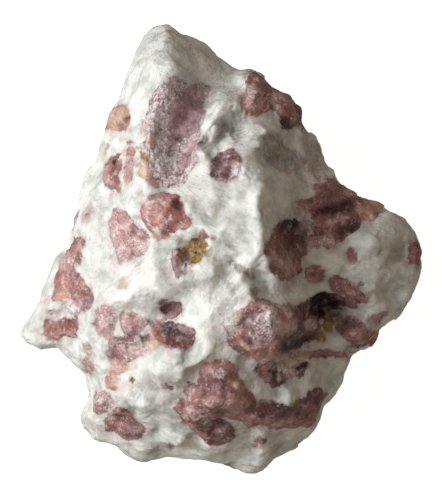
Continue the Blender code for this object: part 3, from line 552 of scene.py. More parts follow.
    (-10.9, -12.9, 1.0, 0.4, 20, 0.9, "plum"),
    (-10.5, -10.3, 1.3, 0.4, -30, 0.8, "frost"),
    (-8.8, -11.5, 1.3, 1.4, -30, 1, "ember"),
    (-9.6, -12.3, 0.7, 0.9, 0, 0.8, "salmon"),
    (-6.6, -12.4, 2.8, 1.9, -12, 1, "wine"),
    (-8.9, -12.2, 1.0, 1.2, 0, 0.9, "ember"),
    (-7.3, -11.8, 1.8, 1.1, -15, 0.9, "wine"),
    (-6.8, -12.0, 1.7, 1.1, -15, 1, "black"),
    (-6.2, -12.9, 1.6, 0.6, -12, 0.8, "wine"),
    (-4.9, -12.2, 1.4, 1.2, -30, 1, "plum"),
    (-4.9, -11.7, 0.9, 0.5, -30, 0.6, "umber"),
    (-4.6, -12.0, 0.8, 0.8, 0, 0.7, "plum"),
    (-4.3, -13.2, 0.5, 0.3, 0, 0.7, "umber"),
    (-10.2, -13.9, 1.5, 0.7, 12, 0.95, "peach"),
    (-15.0, -14.1, 1.7, 1.7, 0, 0.95, "mauve"),
    (-14.2, -14.0, 1.2, 1.0, 20, 0.7, "pink"),
    (-15.6, -15.8, 0.9, 0.6, 0, 0.8, "umber"),
    (-14.5, -12.9, 0.9, 0.6, 0, 0.8, "plum"),
    (-12.4, -14.5, 1.5, 1.2, 30, 0.85, "pink"),
    (-13.4, -14.8, 0.7, 0.6, 0, 0.7, "frost"),
    (-15.2, -17.3, 1.9, 1.2, 20, 0.7, "salmon"),
    (-16.1, -19.3, 1.2, 1.5, 0, 0.7, "salmon"),
    (-15.6, -20.4, 0.7, 0.4, 0, 0.8, "ember"),
    (-13.1, -19.2, 0.4, 0.4, 0, 0.9, "gold"),
    (-14.0, -20.8, 1.3, 0.9, 0, 0.35, "peach"),
    (-19.9, -14.7, 1.5, 0.7, -60, 0.55, "rose"),
    (-19.7, -17.2, 1.8, 1.0, -70, 0.65, "rose"),
    (-20.4, -17.3, 0.6, 0.9, 0, 0.5, "umber"),
    # the pit in the middle
    (-7.2, -8.4, 1.5, 1.3, -20, 1, "mauve"),
    (-8.3, -8.1, 0.7, 1.0, 20, 1, "plum"),
    (-6.3, -8.7, 0.8, 0.9, 0, 0.6, "plum"),
    (-7.9, -9.9, 1.2, 0.4, 0, 0.7, "umber"),
    (-1.6, -7.4, 0.4, 0.6, 0, 0.6, "mauve"),
    (-1.3, -8.0, 0.2, 0.2, 0, 0.9, "plum"),
    # painted shade: a grey dot
    (-2.2, -5.2, 0.3, 0.3, 0, 0.3, "smoke"),
    # the left flank and the left tip
    (-21.2, 0.9, 1.3, 1.0, 40, 0.9, "dusky"),
    (-21.3, -1.0, 0.9, 1.5, 0, 0.9, "dusky"),
    (-23.1, -1.8, 1.5, 1.2, 60, 0.85, "pink"),
    (-22.9, -3.3, 1.5, 0.9, 60, 0.6, "rose"),
    (-22.3, -4.7, 2.3, 1.6, -30, 1, "rose"),
    (-22.2, -3.9, 0.9, 0.7, 0, 0.7, "dusky"),
    (-23.7, -6.8, 1.3, 1.0, 40, 0.95, "salmon"),
    (-20.4, -6.9, 1.5, 2.0, 20, 1, "dusky"),
    (-19.9, -8.1, 1.0, 1.0, 0, 0.8, "mauve"),
    (-22.5, -8.5, 1.6, 1.0, -10, 0.95, "frost"),
    (-21.3, -11.0, 0.7, 1.3, 0, 0.9, "mauve"),
    (-23.4, -11.2, 1.8, 1.2, 10, 1, "ember"),
    (-24.0, -11.6, 1.3, 0.8, 10, 0.7, "dusky"),
    (-22.8, -10.6, 0.7, 0.7, 0, 0.8, "wine"),
    (-25.0, -11.8, 1.0, 1.0, 0, 0.8, "rose"),
    (-24.0, -11.3, 1.7, 1.2, 0, 0.8, "ember"),
    (-23.6, -11.2, 1.2, 0.8, 0, 0.4, "wine"),
    (-25.4, -9.1, 0.9, 0.6, 0, 0.6, "rose"),
    (-25.1, -13.2, 1.5, 0.4, -5, 0.7, "salmon"),
    (-19.7, 5.5, 1.5, 0.9, 70, 0.55, "rose"),
    (-19.9, 4.9, 0.7, 0.4, 0, 0.5, "dusky"),
    (-14.2, -4.9, 1.2, 0.6, 60, 0.5, "rose"),
    (-16.4, -9.1, 0.9, 0.4, 0, 0.3, "pink"),
    # the rosy crystal and its sugary neighbour
    (-8.3, 4.9, 3.0, 2.7, 0, 1, "ember"),
    (-8.9, 4.4, 2.0, 1.6, 0, 0.25, "salmon"),
    (-8.3, 5.2, 2.0, 1.2, 20, 0.7, "ember"),
    (-10.6, 5.6, 1.4, 1.0, 60, 0.8, "rose"),
    (-9.8, 7.0, 1.4, 0.3, 15, 0.7, "frost"),
    (-6.7, 6.1, 1.5, 1.3, -30, 1, "ember"),
    (-5.5, 4.1, 1.4, 1.1, 0, 1, "ember"),
    (-6.5, 6.4, 0.7, 0.8, 30, 1, "plum"),
    (-8.5, 2.2, 1.3, 0.8, 0, 1, "rose"),
    (-8.2, 3.6, 0.9, 0.5, -30, 0.4, "pink"),
    (-9.6, 2.9, 0.9, 0.3, -40, 0.9, "frost"),
    (-7.3, 4.6, 0.9, 0.2, 60, 0.8, "frost"),
    (-9.4, 5.4, 0.7, 0.15, 20, 0.8, "plum"),
    (-10.4, 3.9, 0.6, 0.3, -60, 0.8, "frost"),
    (-13.6, 1.8, 3.2, 2.2, -65, 0.85, "pink"),
    (-14.7, 4.3, 1.0, 1.0, 0, 0.75, "rose"),
    (-13.1, 0.7, 1.0, 0.6, 0, 0.85, "rose"),
    (-14.5, 2.0, 0.7, 0.9, 0, 0.7, "rose"),
    (-11.8, 2.6, 1.6, 0.7, -30, 0.8, "dusky"),
    (-11.5, 0.5, 1.3, 1.2, 0, 0.8, "pink"),
    (-12.6, 3.1, 1.2, 0.7, -30, 0.6, "rose"),
    (-13.4, -1.5, 1.3, 0.6, 20, 0.6, "pink"),
    (-12.7, 1.4, 0.6, 0.4, 0, 0.8, "frost"),
    (-11.1, 2.0, 1.0, 0.4, -10, 0.9, "dusky"),
    # the nugget and the golden grain
    (-5.5, -1.8, 1.5, 1.8, 0, 1, "mauve"),
    (-5.5, -0.4, 0.9, 0.7, 0, 0.8, "umber"),
    (-5.0, -2.4, 0.7, 0.7, 0, 0.7, "lilac"),
    (-3.5, 0.2, 1.5, 1.5, 0, 1, "gold"),
    (-3.9, -1.2, 1.0, 0.6, -40, 1, "gold"),
    (-3.2, 0.9, 0.5, 0.3, 30, 0.8, "umber"),
    (-4.1, 0.1, 0.25, 0.4, 0, 0.9, "black"),
    (-3.0, -0.5, 0.25, 0.3, 0, 0.9, "black"),
    (-3.6, -0.9, 0.3, 0.2, 0, 0.8, "black"),
    (-2.5, 2.0, 0.7, 0.7, 0, 0.95, "umber"),
    (-2.9, 0.5, 0.25, 0.3, 0, 0.9, "black"),
    (-1.0, 1.8, 0.6, 0.6, 0, 0.6, "mauve"),
    # grey-green of clear albite, laid partly as painted shade that darkens the middle of the stone, and
    # grey painted shade in its creases, hollows and a low dip
    (-1.5, 5.5, 3.2, 2.0, -30, 0.5, "mist"),
    (1.6, 1.0, 3.6, 2.2, 60, 0.5, "mist"),
    (-3.2, -4.2, 3.0, 1.6, -20, 0.5, "mist"),
    (0.2, -10.5, 4.0, 2.2, 70, 0.5, "mist"),
    (-6.5, -16.5, 3.2, 1.8, 20, 0.5, "mist"),
    (-9.4, -22.6, 3.2, 1.8, -40, 0.5, "mist"),
    (-1.5, 16.0, 2.4, 1.4, 60, 0.5, "mist"),
    # painted shade: grey in the hollow beside the bright ridge
    (0.4, 17.2, 2.2, 1.1, 60, 0.6, "smoke"),
    (1.5, 8.5, 2.6, 1.2, -20, 0.5, "mist"),
    (0.8, 4.8, 2.4, 1.6, -30, 0.48, "mist"),
    # painted shade: grey along the crease under the golden grain
    (7.0, -6.6, 2.6, 0.8, -30, 0.5, "smoke"),
    (2.6, -2.4, 2.4, 0.6, -38, 0.6, "smoke"),
    (5.0, -6.0, 0.7, 0.6, 0, 0.8, "smoke"),
    (24.0, -0.6, 3.2, 1.2, 5, 0.35, "smoke"),
    # painted shade: grey and umber darken a dip low on the left
    (-8.8, -20.5, 3.6, 2.6, 0, 0.48, "smoke"),
    (-8.8, -20.5, 3.2, 2.2, 0, 0.2, "umber"),
    (-0.7, -6.2, 2.6, 2.2, 0, 0.48, "mist"),
    # the pink cap of the tip
    (-7.7, 32.0, 0.9, 0.6, -30, 0.45, "dusky"),
    (-7.0, 31.2, 0.4, 0.4, 0, 0.4, "salmon"),
    (-4.5, 29.9, 0.2, 0.2, 0, 0.7, "umber"),
    (-1.8, 27.1, 0.2, 0.1, 0, 0.7, "umber"),
]
print("ovals of colour:", len(BLOOMS))

# %% Lay the colour on
BEND = [(2.2, 0.35), (0.9, 0.30), (0.45, 0.20)]
FEATHER = 0.45
LOWEST_BLOOM = 2.0
HAZE = 0.5
HAZE_REACH = 3.0
HAZE_SPAN = 1.8
RIM = 0.65
RIM_REACH = 1.0
RIM_SPAN = 1.0
RIM_COLOUR = np.array([0.66, 0.54, 0.52])


def soft_step(values, low, high):
    share = np.clip((values - low) / (high - low), 0, 1)
    return share * share * (3 - 2 * share)


bent = points[:, :2].copy()
for i, p in enumerate(points):
    place = Vector(p)
    for span, reach in BEND:
        bent[i, 0] += noise.noise(place / span) * reach
        bent[i, 1] += noise.noise(place / span + Vector((31, 7, 3))) * reach
ground = [SLOT_COLOURS.get(slot_of[name], slot_of[name]) for name in grain_names]
tint = np.array([COLOURS[name] for name in ground], np.float32)[owner]
sugar = np.array([SUGAR[name] for name in ground], np.float32)[owner]
cover = soft_step(border, -0.65, 0.6)
haze = np.array([noise.noise(Vector(p) / HAZE_SPAN) for p in points])
haze = HAZE * soft_step(border, -HAZE_REACH, 0) * soft_step(haze, -0.15, 0.45)
cover = np.maximum(cover, haze)
seen = (read_normals(stone.data)[:, 2] > -0.2) & (points[:, 2] > LOWEST_BLOOM)
for x, y, long, short, turn, strength, name in BLOOMS:
    angle = math.radians(turn)
    dx, dy = bent[:, 0] - x, bent[:, 1] - y
    along = (dx * math.cos(angle) + dy * math.sin(angle)) / long
    across = (dy * math.cos(angle) - dx * math.sin(angle)) / short
    inside = (1 - np.hypot(along, across)) * min(long, short)
    feather = min(FEATHER, short * 0.5)
    weight = soft_step(inside, -feather, feather) * strength * seen
    fresh = weight / np.maximum(weight + cover * (1 - weight), 1e-6)
    tint += (np.array(COLOURS[name]) - tint) * fresh[:, None]
    sugar += (SUGAR[name] - sugar) * fresh
    cover = np.maximum(cover, weight)
rim = np.array([noise.noise(Vector(p) / RIM_SPAN) for p in points])
rim = soft_step(rim, -0.2, 0.25) * soft_step(border, RIM_REACH, 0.2) * soft_step(border, -0.4, 0)
rim *= soft_step(tint.mean(axis=1), 0.06, 0.2) * RIM
rim[owner == grain_names.index("golden_grain")] = 0
sugar = np.maximum(sugar, rim)
tint += (RIM_COLOUR - tint) * 0.3 * rim[:, None]
print("coloured: %.1f %% of the skin" % (100 * (cover > 0.5).mean()))

# %% [markdown]
# ## Ridges, hollows and the run of the fibres
#
# The light rakes over the stone from the left, so its low ridges and dips show clearly. We
# list the main ones as strokes: from a point to a point, half the width and the
# height, all in millimetres. Below them come the sprays of albite: a place and the compass
# direction in which its fibres run.

# %% Strokes and sprays
STROKES = [
    # the bright ridge that runs down from the notch, and the hollow beside it
    (3.4, 25.9, 0.0, 21.1, 1.3, 0.7),
    (0.0, 21.1, -4.1, 15.7, 1.2, 0.8),
    (2.2, 19.5, -1.5, 15.1, 1.3, -1.9),
    # the striped blade above the eye, and its shade
    (-2.5, 14.2, 8.5, 17.7, 0.6, 0.5),
    (-0.7, 13.4, 8.0, 15.7, 0.9, -0.3),
    (9.1, 17.4, 10.5, 9.9, 2.2, -0.5),
    # the edge of the broad bright face
    (5.1, 9.9, 6.1, 0.2, 1.0, 0.5),
    (1.2, 7.2, 2.9, 1.4, 2.0, 0.3),
    # the long ridge in the middle left, and the dip behind it
    (-4.7, 1.7, -10.2, -2.4, 1.2, 0.4),
    (-10.2, -2.4, -15.5, -9.1, 1.2, 0.4),
    (-8.8, -4.5, -11.7, -7.4, 2.4, 0.5),
    (-12.3, -1.8, -14.9, -5.9, 1.3, -0.8),
    # the shelf that carries the heart, and the dip to its left
    (8.4, -1.4, 9.9, -7.3, 3.2, 1.5),
    (7.8, -11.0, 9.6, -12.4, 3.0, 1.1),
    (6.6, -18.0, 7.0, -22.0, 1.6, 0.8),
    (2.6, -1.0, 3.4, -8.0, 2.2, -0.5),
    # the grey crease under the golden grain
    (-1.5, -0.4, 1.8, -1.8, 0.6, -0.5),
    (1.8, -1.8, 6.7, -5.6, 0.6, -0.6),
    (2.9, -3.3, 4.4, -7.4, 1.2, 0.3),
    # low bands on the right lobe
    (21.2, 2.6, 27.4, 1.4, 0.9, 0.35),
    (20.7, -0.1, 28.0, -1.2, 0.7, -0.4),
    (20.4, -2.7, 27.4, -4.5, 0.9, 0.35),
    (19.0, 1.4, 18.1, -3.7, 0.7, -0.25),
    # grains that stand out
    (-15.2, 19.5, -14.6, 18.9, 1.5, 0.6),
    (-17.7, -22.3, -17.1, -22.3, 1.2, 0.5),
    (-23.1, -8.4, -21.9, -8.5, 1.0, 0.5),
    (-14.9, -24.0, -12.3, -26.1, 1.0, 0.3),
    (4.5, 21.5, 4.8, 20.9, 1.2, 0.5),
    (9.6, 21.5, 10.5, 19.2, 1.2, 0.5),
    (7.0, 22.4, 7.6, 20.1, 0.6, -0.5),
    (21.3, 5.8, 21.9, 5.2, 1.2, 0.4),
    (14.9, 11.5, 15.2, 11.0, 0.7, 0.4),
    (13.6, -3.0, 13.9, -4.2, 1.2, 0.3),
    (-1.5, -17.3, 0.3, -17.9, 1.3, 0.5),
    (-8.8, 5.5, -7.9, 4.3, 1.9, -0.3),
    (-13.1, 1.4, -12.6, 0.8, 1.5, 0.3),
    # pockets and dark hollows
    (14.3, -7.4, 16.6, -8.0, 1.3, -1.5),
    (9.3, -13.8, 11.7, -13.2, 0.9, -1),
    (9.9, 3.4, 11.1, 2.0, 1.2, -0.4),
    (-7.4, -8.3, -7.2, -8.5, 1.0, -1.3),
    (0.3, 12.0, 1.2, 11.7, 1.2, -0.8),
    (7.9, -17.3, 8.8, -18.5, 0.7, -0.5),
    (11.1, -17.3, 12.0, -17.0, 0.6, -0.5),
    (-15.8, 13.1, -15.8, 12.6, 0.4, -0.5),
    # grooves and ridges along the prisms
    (14.0, 5.2, 19.9, 6.6, 0.7, -0.7),
    (17.2, 2.4, 20.4, 4.6, 0.7, -0.7),
    (13.4, 3.0, 18.3, 4.7, 0.6, 0.4),
    (13.4, 1.2, 16.9, 1.7, 0.4, 0.4),
    (13.1, 7.8, 18.3, 7.5, 0.9, 0.3),
    # the long prism, the blade and the curved band at the foot
    (-8.8, -11.6, -4.7, -12.6, 1.0, 0.2),
    (-8.8, -13.8, -4.4, -14.7, 0.6, -0.5),
    (-5.8, -23.1, 0.3, -26.4, 0.7, 0.5),
    (6.1, -22.6, 11.4, -23.3, 0.6, -0.5),
    (5.5, -24.2, 11.7, -25.0, 0.7, 0.4),
    (2.3, -24.9, 6.1, -26.1, 0.7, -0.3),
    (-2.2, -19.6, 3.7, -22.6, 0.9, 0.3),
    (1.2, -19.6, 2.6, -20.8, 0.6, -0.3),
    # faces of the heart
    (3.8, -9.6, 4.8, -12.4, 1.1, 0.25),
    (7.4, -9.2, 7.0, -12.6, 1.4, 0.3),
    (9.3, -8.1, 11.1, -10.0, 0.9, 0.4),
]
SPRAYS = [
    (-11.7, 27.7, 80), (-4.4, 26.2, 70), (0.7, 20.4, 55), (2.9, 16.0, 17), (0.7, 8.0, -28),
    (2.2, 5.0, -30), (-17.5, 2.8, 70), (-18.2, -4.5, 60), (-8.8, -3.0, 40), (-1.5, -5.9, 60),
    (2.9, -4.5, 45), (10.2, 14.5, 60), (11.7, 8.0, 40), (23.4, 0.7, -8), (17.5, -2.3, 5),
    (-10.2, -17.6, 80), (-5.8, -16.9, 85), (-13.1, -21.2, 60), (-14.6, -27.8, -20),
    (0.0, -29.3, -10), (8.8, -27.8, 30), (7.3, -19.8, 50), (16.1, -18.3, 30),
    (17.5, -13.9, 10), (-2.9, -11.8, 70), (-23.4, -8.8, 50),
]
lift = np.zeros(count, np.float32)
for x0, y0, x1, y1, wide, height in STROKES:
    run = np.array([x1 - x0, y1 - y0])
    share = ((bent[:, 0] - x0) * run[0] + (bent[:, 1] - y0) * run[1]) / max(run @ run, 1e-6)
    share = np.clip(share, 0, 1)
    away = np.hypot(bent[:, 0] - x0 - share * run[0], bent[:, 1] - y0 - share * run[1])
    lift += height * np.exp(-((away / wide) ** 2)) * seen
spray_tree = kdtree.KDTree(len(SPRAYS))
for number, (x, y, _) in enumerate(SPRAYS):
    spray_tree.insert((x, y, 0), number)
spray_tree.balance()
print("strokes:", len(STROKES), "sprays:", len(SPRAYS))

# %% [markdown]
# ## How the stone breaks
#
# Albite parts along its fibres into soft steps, and tourmaline breaks into glassy chips. For
# the chips we use a pattern of cells: every cell is a flat face with a lean of its own. The
# fibres are a noise stretched along the run of the spray.

# %% Carve the skin
STRETCH = 0.10
ALBITE_BREAKS = [(3.2, 0.13), (1.1, 0.06)]
CRYSTAL_BREAKS = [(2.6, 0.20), (1.1, 0.10)]
CALM_GRAINS = {
    "lepidolite_mica": 0.3, "tourmaline_left_knob": 0.3, "tourmaline_heart": 0.4,
    "tourmaline_rosy": 0.4, "tourmaline_foot_mass": 0.6, "golden_grain": 2.2,
}
LUMPS = [(3.6, 0.12), (1.7, 0.035), (0.85, 0.03), (0.45, 0.03)]
LEAN_SEED = 3.3
CREASE_SPAN = 2.6
CREASE_DEPTH = 0.06
CREASE_WIDTH = 0.10
CREASE_SHIFT = Vector((13, 5, 8))
FIBRE_LIFT = 0.09
FIBRE_RISE = 0.15


def broken(place, size, tilt):
    """Height of flat broken faces at a point: each cell is a plane that leans its own way,
    and the highest plane nearby wins, which gives sharp edges but no cliffs."""
    far, centres = noise.voronoi(place / size)
    best = -1e9
    for away, centre in zip(far, centres):
        lean = noise.cell_vector(centre * LEAN_SEED) - Vector((0.5, 0.5, 0.5))
        plane = lean.dot(place - centre * size) * 2 - 1.4 * (away - far[0]) * size
        best = max(best, plane)
    return (best - 0.2 * size) * tilt


def spray_direction(x, y):
    """The run of the fibres: that of the nearest spray."""
    number = spray_tree.find((x, y, 0))[1]
    turn = math.radians(SPRAYS[number][2])
    return Vector((math.cos(turn), math.sin(turn), FIBRE_RISE)).normalized()


fibre = np.empty((count, 3), np.float32)
moves = np.empty(count, np.float32)
for i, p in enumerate(points):
    place = Vector(p)
    way = spray_direction(bent[i, 0] + 4 * noise.noise(place / 3), bent[i, 1])
    fibre[i] = way
    drawn = place - way * place.dot(way) * (1 - STRETCH)
    moves[i] = sum(noise.noise(place / span) * height for span, height in LUMPS)
    deep = CREASE_DEPTH * max(0.0, min(1.0, noise.noise(place / 6 + CREASE_SHIFT) * 3 + 0.4))
    moves[i] -= deep * math.exp(-((noise.noise(place / CREASE_SPAN) / CREASE_WIDTH) ** 2))
    if cover[i] > 0.5:
        calm = CALM_GRAINS.get(grain_names[owner[i]], 1.0)
        moves[i] *= calm
        moves[i] += sum(broken(place, size, tilt) for size, tilt in CRYSTAL_BREAKS) * calm
    else:
        strength = min(1.0, max(0.0, noise.noise(place / 5.0) * 2 + 0.6))
        moves[i] += noise.noise(drawn / 0.5) * FIBRE_LIFT * strength
        moves[i] += sum(broken(place, size, tilt) for size, tilt in ALBITE_BREAKS)
low_edge = np.clip(points[:, 2] / 1.5, 0, 1)
moves *= low_edge
points[:, 2] += lift * low_edge
normals = read_normals(stone.data)
points += normals * moves[:, None]
points[:, 2] = np.maximum(points[:, 2], 0.0)
stone.data.vertices.foreach_set("co", (points * MM).astype(np.float32).ravel())
stone.data.update()
print("carved between %.2f and %.2f mm" % (moves.min(), moves.max()))

# %% Store what the materials read


def store(mesh, name, values, kind="FLOAT", where="POINT"):
    layer = mesh.attributes.new(name, kind, where)
    key = {"FLOAT": "value", "FLOAT_VECTOR": "vector", "FLOAT_COLOR": "color"}[kind]
    layer.data.foreach_set(key, np.ascontiguousarray(values, np.float32).ravel())


store(stone.data, "cover", cover)
store(stone.data, "sugar", sugar)
corners = np.array([face.vertices[0] for face in stone.data.polygons])
store(stone.data, "fibre", fibre[corners], "FLOAT_VECTOR", "FACE")
store(stone.data, "tint", np.column_stack([tint, np.ones(count)]), "FLOAT_COLOR")

# %% [markdown]
# ## Part the skin into albite and crystals
#
# Every face goes to the mineral under it. Separating by material slot gives one piece for each
# crystal, and its border matches the albite's to the last point. Each crystal piece is then
# given a body by thickening it inwards, and the albite gets a socket under it.

# %% Separate the pieces
face_owner = np.full(len(stone.data.polygons), -1, np.int32)
for number, face in enumerate(stone.data.polygons):
    owners = {int(owner[v]) if border[v] > 0 else -1 for v in face.vertices}
    if len(owners) == 1:
        face_owner[number] = owners.pop()
for name in grain_names:
    stone.data.materials.append(bpy.data.materials.new("part " + name))
stone.data.materials.append(bpy.data.materials.new("part albite"))
albite_slot = len(grain_names)
slots = np.where(face_owner < 0, albite_slot, face_owner).astype(np.int32)
stone.data.polygons.foreach_set("material_index", slots)

whole = stone.copy()
whole.data = stone.data.copy()
bpy.context.scene.collection.objects.link(whole)
whole.name = "albite"

bpy.ops.object.select_all(action="DESELECT")
bpy.context.view_layer.objects.active = stone
stone.select_set(True)
before = set(bpy.data.objects)
bpy.ops.object.mode_set(mode="EDIT")
bpy.ops.mesh.select_all(action="SELECT")
bpy.ops.mesh.separate(type="MATERIAL")
bpy.ops.object.mode_set(mode="OBJECT")
parted = [stone] + [obj for obj in bpy.data.objects if obj not in before]
crystals = {}
for obj in parted:
    index = obj.data.polygons[0].material_index if obj.data.polygons else albite_slot
    label = obj.data.materials[index].name
    if label == "part albite":
        bpy.data.objects.remove(obj)
        continue
    crystals[label.removeprefix("part ")] = obj
print("crystal pieces:", len(crystals))

# %% Give each crystal a body, and sink the albite under it
THICK = 0.6
SINK = 0.7
CHIP_BREAKS = [(0.6, 0.09)]
CRUMBLE = 3.0


def give_body(obj):
    """Finer chips on the face that shows, and a wall thickness inwards."""
    form = bmesh.new()
    form.from_mesh(obj.data)
    edges = form.edges[:]
    bmesh.ops.subdivide_edges(form, edges=edges, cuts=1, use_grid_fill=True)
    form.normal_update()
    sugary = form.verts.layers.float["sugar"]
    moved = []
    for vert in form.verts:
        if vert.is_boundary:
            continue
        place = vert.co / MM
        lift = sum(broken(place, size, tilt) for size, tilt in CHIP_BREAKS)
        lift *= 0.6 + CRUMBLE * vert[sugary] ** 2
        moved.append((vert, vert.normal * lift * MM))
    for vert, move in moved:
        vert.co += move
    form.normal_update()
    grown = bmesh.ops.extrude_face_region(form, geom=form.faces[:], use_keep_orig=True)
    inner = [part for part in grown["geom"] if isinstance(part, bmesh.types.BMVert)]
    for vert in inner:
        vert.co += vert.normal * -THICK * MM
    bmesh.ops.recalc_face_normals(form, faces=form.faces)
    for face in form.faces:
        face.smooth = True
    form.to_mesh(obj.data)
    form.free()


for name, obj in crystals.items():
    give_body(obj)
    obj.name = "crystal_" + name.removeprefix("tourmaline_")
    obj.data.name = obj.name

sunk = np.ones(count, bool)
for number, face in enumerate(whole.data.polygons):
    if face_owner[number] < 0:
        sunk[list(face.vertices)] = False
points = read_points(whole.data)
points[sunk] -= read_normals(whole.data)[sunk] * SINK
whole.data.vertices.foreach_set("co", (points * MM).astype(np.float32).ravel())
whole.data.polygons.foreach_set("use_smooth", np.ones(len(whole.data.polygons), bool))
whole.data.update()

# %% Thin the albite's mesh where nobody sees it
THIN_TO = 0.66
SHARES = {"hidden": 1.0, "underside": 0.7, "seen": 0.004}

below = read_normals(whole.data)[:, 2] < -0.5
thin = whole.vertex_groups.new(name="thin")
thin.add(np.flatnonzero(sunk).tolist(), SHARES["hidden"], "REPLACE")
thin.add(np.flatnonzero(~sunk & below).tolist(), SHARES["underside"], "REPLACE")
thin.add(np.flatnonzero(~sunk & ~below).tolist(), SHARES["seen"], "REPLACE")
step = whole.modifiers.new("thin", "DECIMATE")
step.ratio = THIN_TO
step.vertex_group = thin.name
apply_all(whole)
whole.vertex_groups.clear()
whole.data.calc_loop_triangles()
total = sum(len(obj.data.polygons) for obj in crystals.values())
print("albite triangles:", len(whole.data.loop_triangles), "crystal faces:", total)

# %% [markdown]
# ## Materials
#
# Albite is white, but light goes into it: clear parts look grey-green and deep, and cloudy parts
# chalk white. Tourmaline goes from pale pink where it is thin or frosted to nearly black red
# where it is thick. Both are glassy, so many small faces flash. Shared effects are node groups.

# %% Helpers for the shader graphs


def new_group(name, inputs, outputs):
    group = bpy.data.node_groups.new(name, "ShaderNodeTree")
    for label, kind, value in inputs:
        socket = group.interface.new_socket(label, in_out="INPUT", socket_type=kind)
        if value is not None:
            socket.default_value = value
    for label, kind in outputs:
        group.interface.new_socket(label, in_out="OUTPUT", socket_type=kind)
    return group, group.nodes.new("NodeGroupInput"), group.nodes.new("NodeGroupOutput")


def link(tree, source, target):
    tree.links.new(source, target)


def math_node(tree, operation, a, b=None, c=None, clamp=False):
    node = tree.nodes.new("ShaderNodeMath")
    node.operation = operation
    node.use_clamp = clamp
    for socket, value in zip(node.inputs, (a, b, c)):
        if value is None:
            continue
        if isinstance(value, (int, float)):
            socket.default_value = value
        else:
            link(tree, value, socket)
    return node.outputs[0]


def spread(tree, value, low, high, to_low=0.0, to_high=1.0):
    """A value mapped smoothly from one range to another."""
    node = tree.nodes.new("ShaderNodeMapRange")
    node.interpolation_type = "SMOOTHSTEP"
    node.inputs["From Min"].default_value = low
    node.inputs["From Max"].default_value = high
    node.inputs["To Min"].default_value = to_low
    node.inputs["To Max"].default_value = to_high
    link(tree, value, node.inputs["Value"])
    return node.outputs["Result"]


def blend(tree, factor, a, b):
    node = tree.nodes.new("ShaderNodeMix")
    node.data_type = "RGBA"
    for socket, value in ((node.inputs[0], factor), (node.inputs[6], a), (node.inputs[7], b)):
        if isinstance(value, (int, float)):
            socket.default_value = value
        elif isinstance(value, tuple):
            socket.default_value = (*value, 1.0)
        else:
            link(tree, value, socket)
    return node.outputs[2]


def grain_noise(tree, place, size, detail=3.0, rough=0.55):
    """Noise whose blotches are about size millimetres across."""
    node = tree.nodes.new("ShaderNodeTexNoise")
    node.inputs["Scale"].default_value = 1.0 / (size * MM)
    node.inputs["Detail"].default_value = detail
    node.inputs["Roughness"].default_value = rough
    link(tree, place, node.inputs["Vector"])
    return node.outputs["Fac"]


def attribute(tree, name):
    node = tree.nodes.new("ShaderNodeAttribute")
    node.attribute_name = name
    return node


def object_place(tree):
    return tree.nodes.new("ShaderNodeTexCoord").outputs["Object"]


# %% Places drawn out along the fibres


def make_drawn():
    """The place squeezed along the fibres, so that any noise on it runs with them."""
    group, ins, outs = new_group(
        "along the fibres",
        [("Place", "NodeSocketVector", None), ("Fibre", "NodeSocketVector", None)],
        [("Place", "NodeSocketVector")],
    )
    place, way = ins.outputs["Place"], ins.outputs["Fibre"]
    dot = group.nodes.new("ShaderNodeVectorMath")
    dot.operation = "DOT_PRODUCT"
    link(group, place, dot.inputs[0])
    link(group, way, dot.inputs[1])
    along = group.nodes.new("ShaderNodeVectorMath")
    along.operation = "SCALE"
    link(group, way, along.inputs[0])
    link(group, math_node(group, "MULTIPLY", dot.outputs["Value"], 1 - STRETCH), along.inputs["Scale"])
    drawn = group.nodes.new("ShaderNodeVectorMath")
    drawn.operation = "SUBTRACT"
    link(group, place, drawn.inputs[0])
    link(group, along.outputs[0], drawn.inputs[1])
    link(group, drawn.outputs[0], outs.inputs["Place"])
    return group


drawn_out = make_drawn()

# %% The frayed border between two minerals


def make_fray():
    """Mask from 0 on albite to 1 on crystal: threads of white at the edge, and a soft wash
    where the colour is faint."""
    group, ins, outs = new_group(
        "frayed border",
        [
            ("Cover", "NodeSocketFloat", 0.0),
            ("Place", "NodeSocketVector", None),
            ("Drawn", "NodeSocketVector", None),
        ],
        [("Mask", "NodeSocketFloat")],
    )
    place, cover = ins.outputs["Place"], ins.outputs["Cover"]
    grains = grain_noise(group, place, 0.5, 5.0, 0.7)
    threads = grain_noise(group, ins.outputs["Drawn"], 0.2, 3.0, 0.6)
    rag = math_node(group, "MULTIPLY_ADD", threads, 0.6, math_node(group, "MULTIPLY", grains, 1.4))
    rag = math_node(group, "MULTIPLY_ADD", rag, 1.3, -1.55)
    ragged = math_node(group, "MULTIPLY_ADD", cover, 1.5, rag)
    edge = spread(group, ragged, 0.30, 0.80)
    edge = math_node(group, "MULTIPLY", edge, spread(group, cover, 0.25, 0.6))
    blotch = grain_noise(group, place, 1.6, 3.0, 0.6)
    wash = math_node(group, "MULTIPLY", cover, spread(group, blotch, 0.25, 0.55, 0.4, 1.0))
    link(group, math_node(group, "MAXIMUM", edge, wash), outs.inputs["Mask"])
    return group


fray = make_fray()

# %% Glitter: small flat faces that each lean their own way


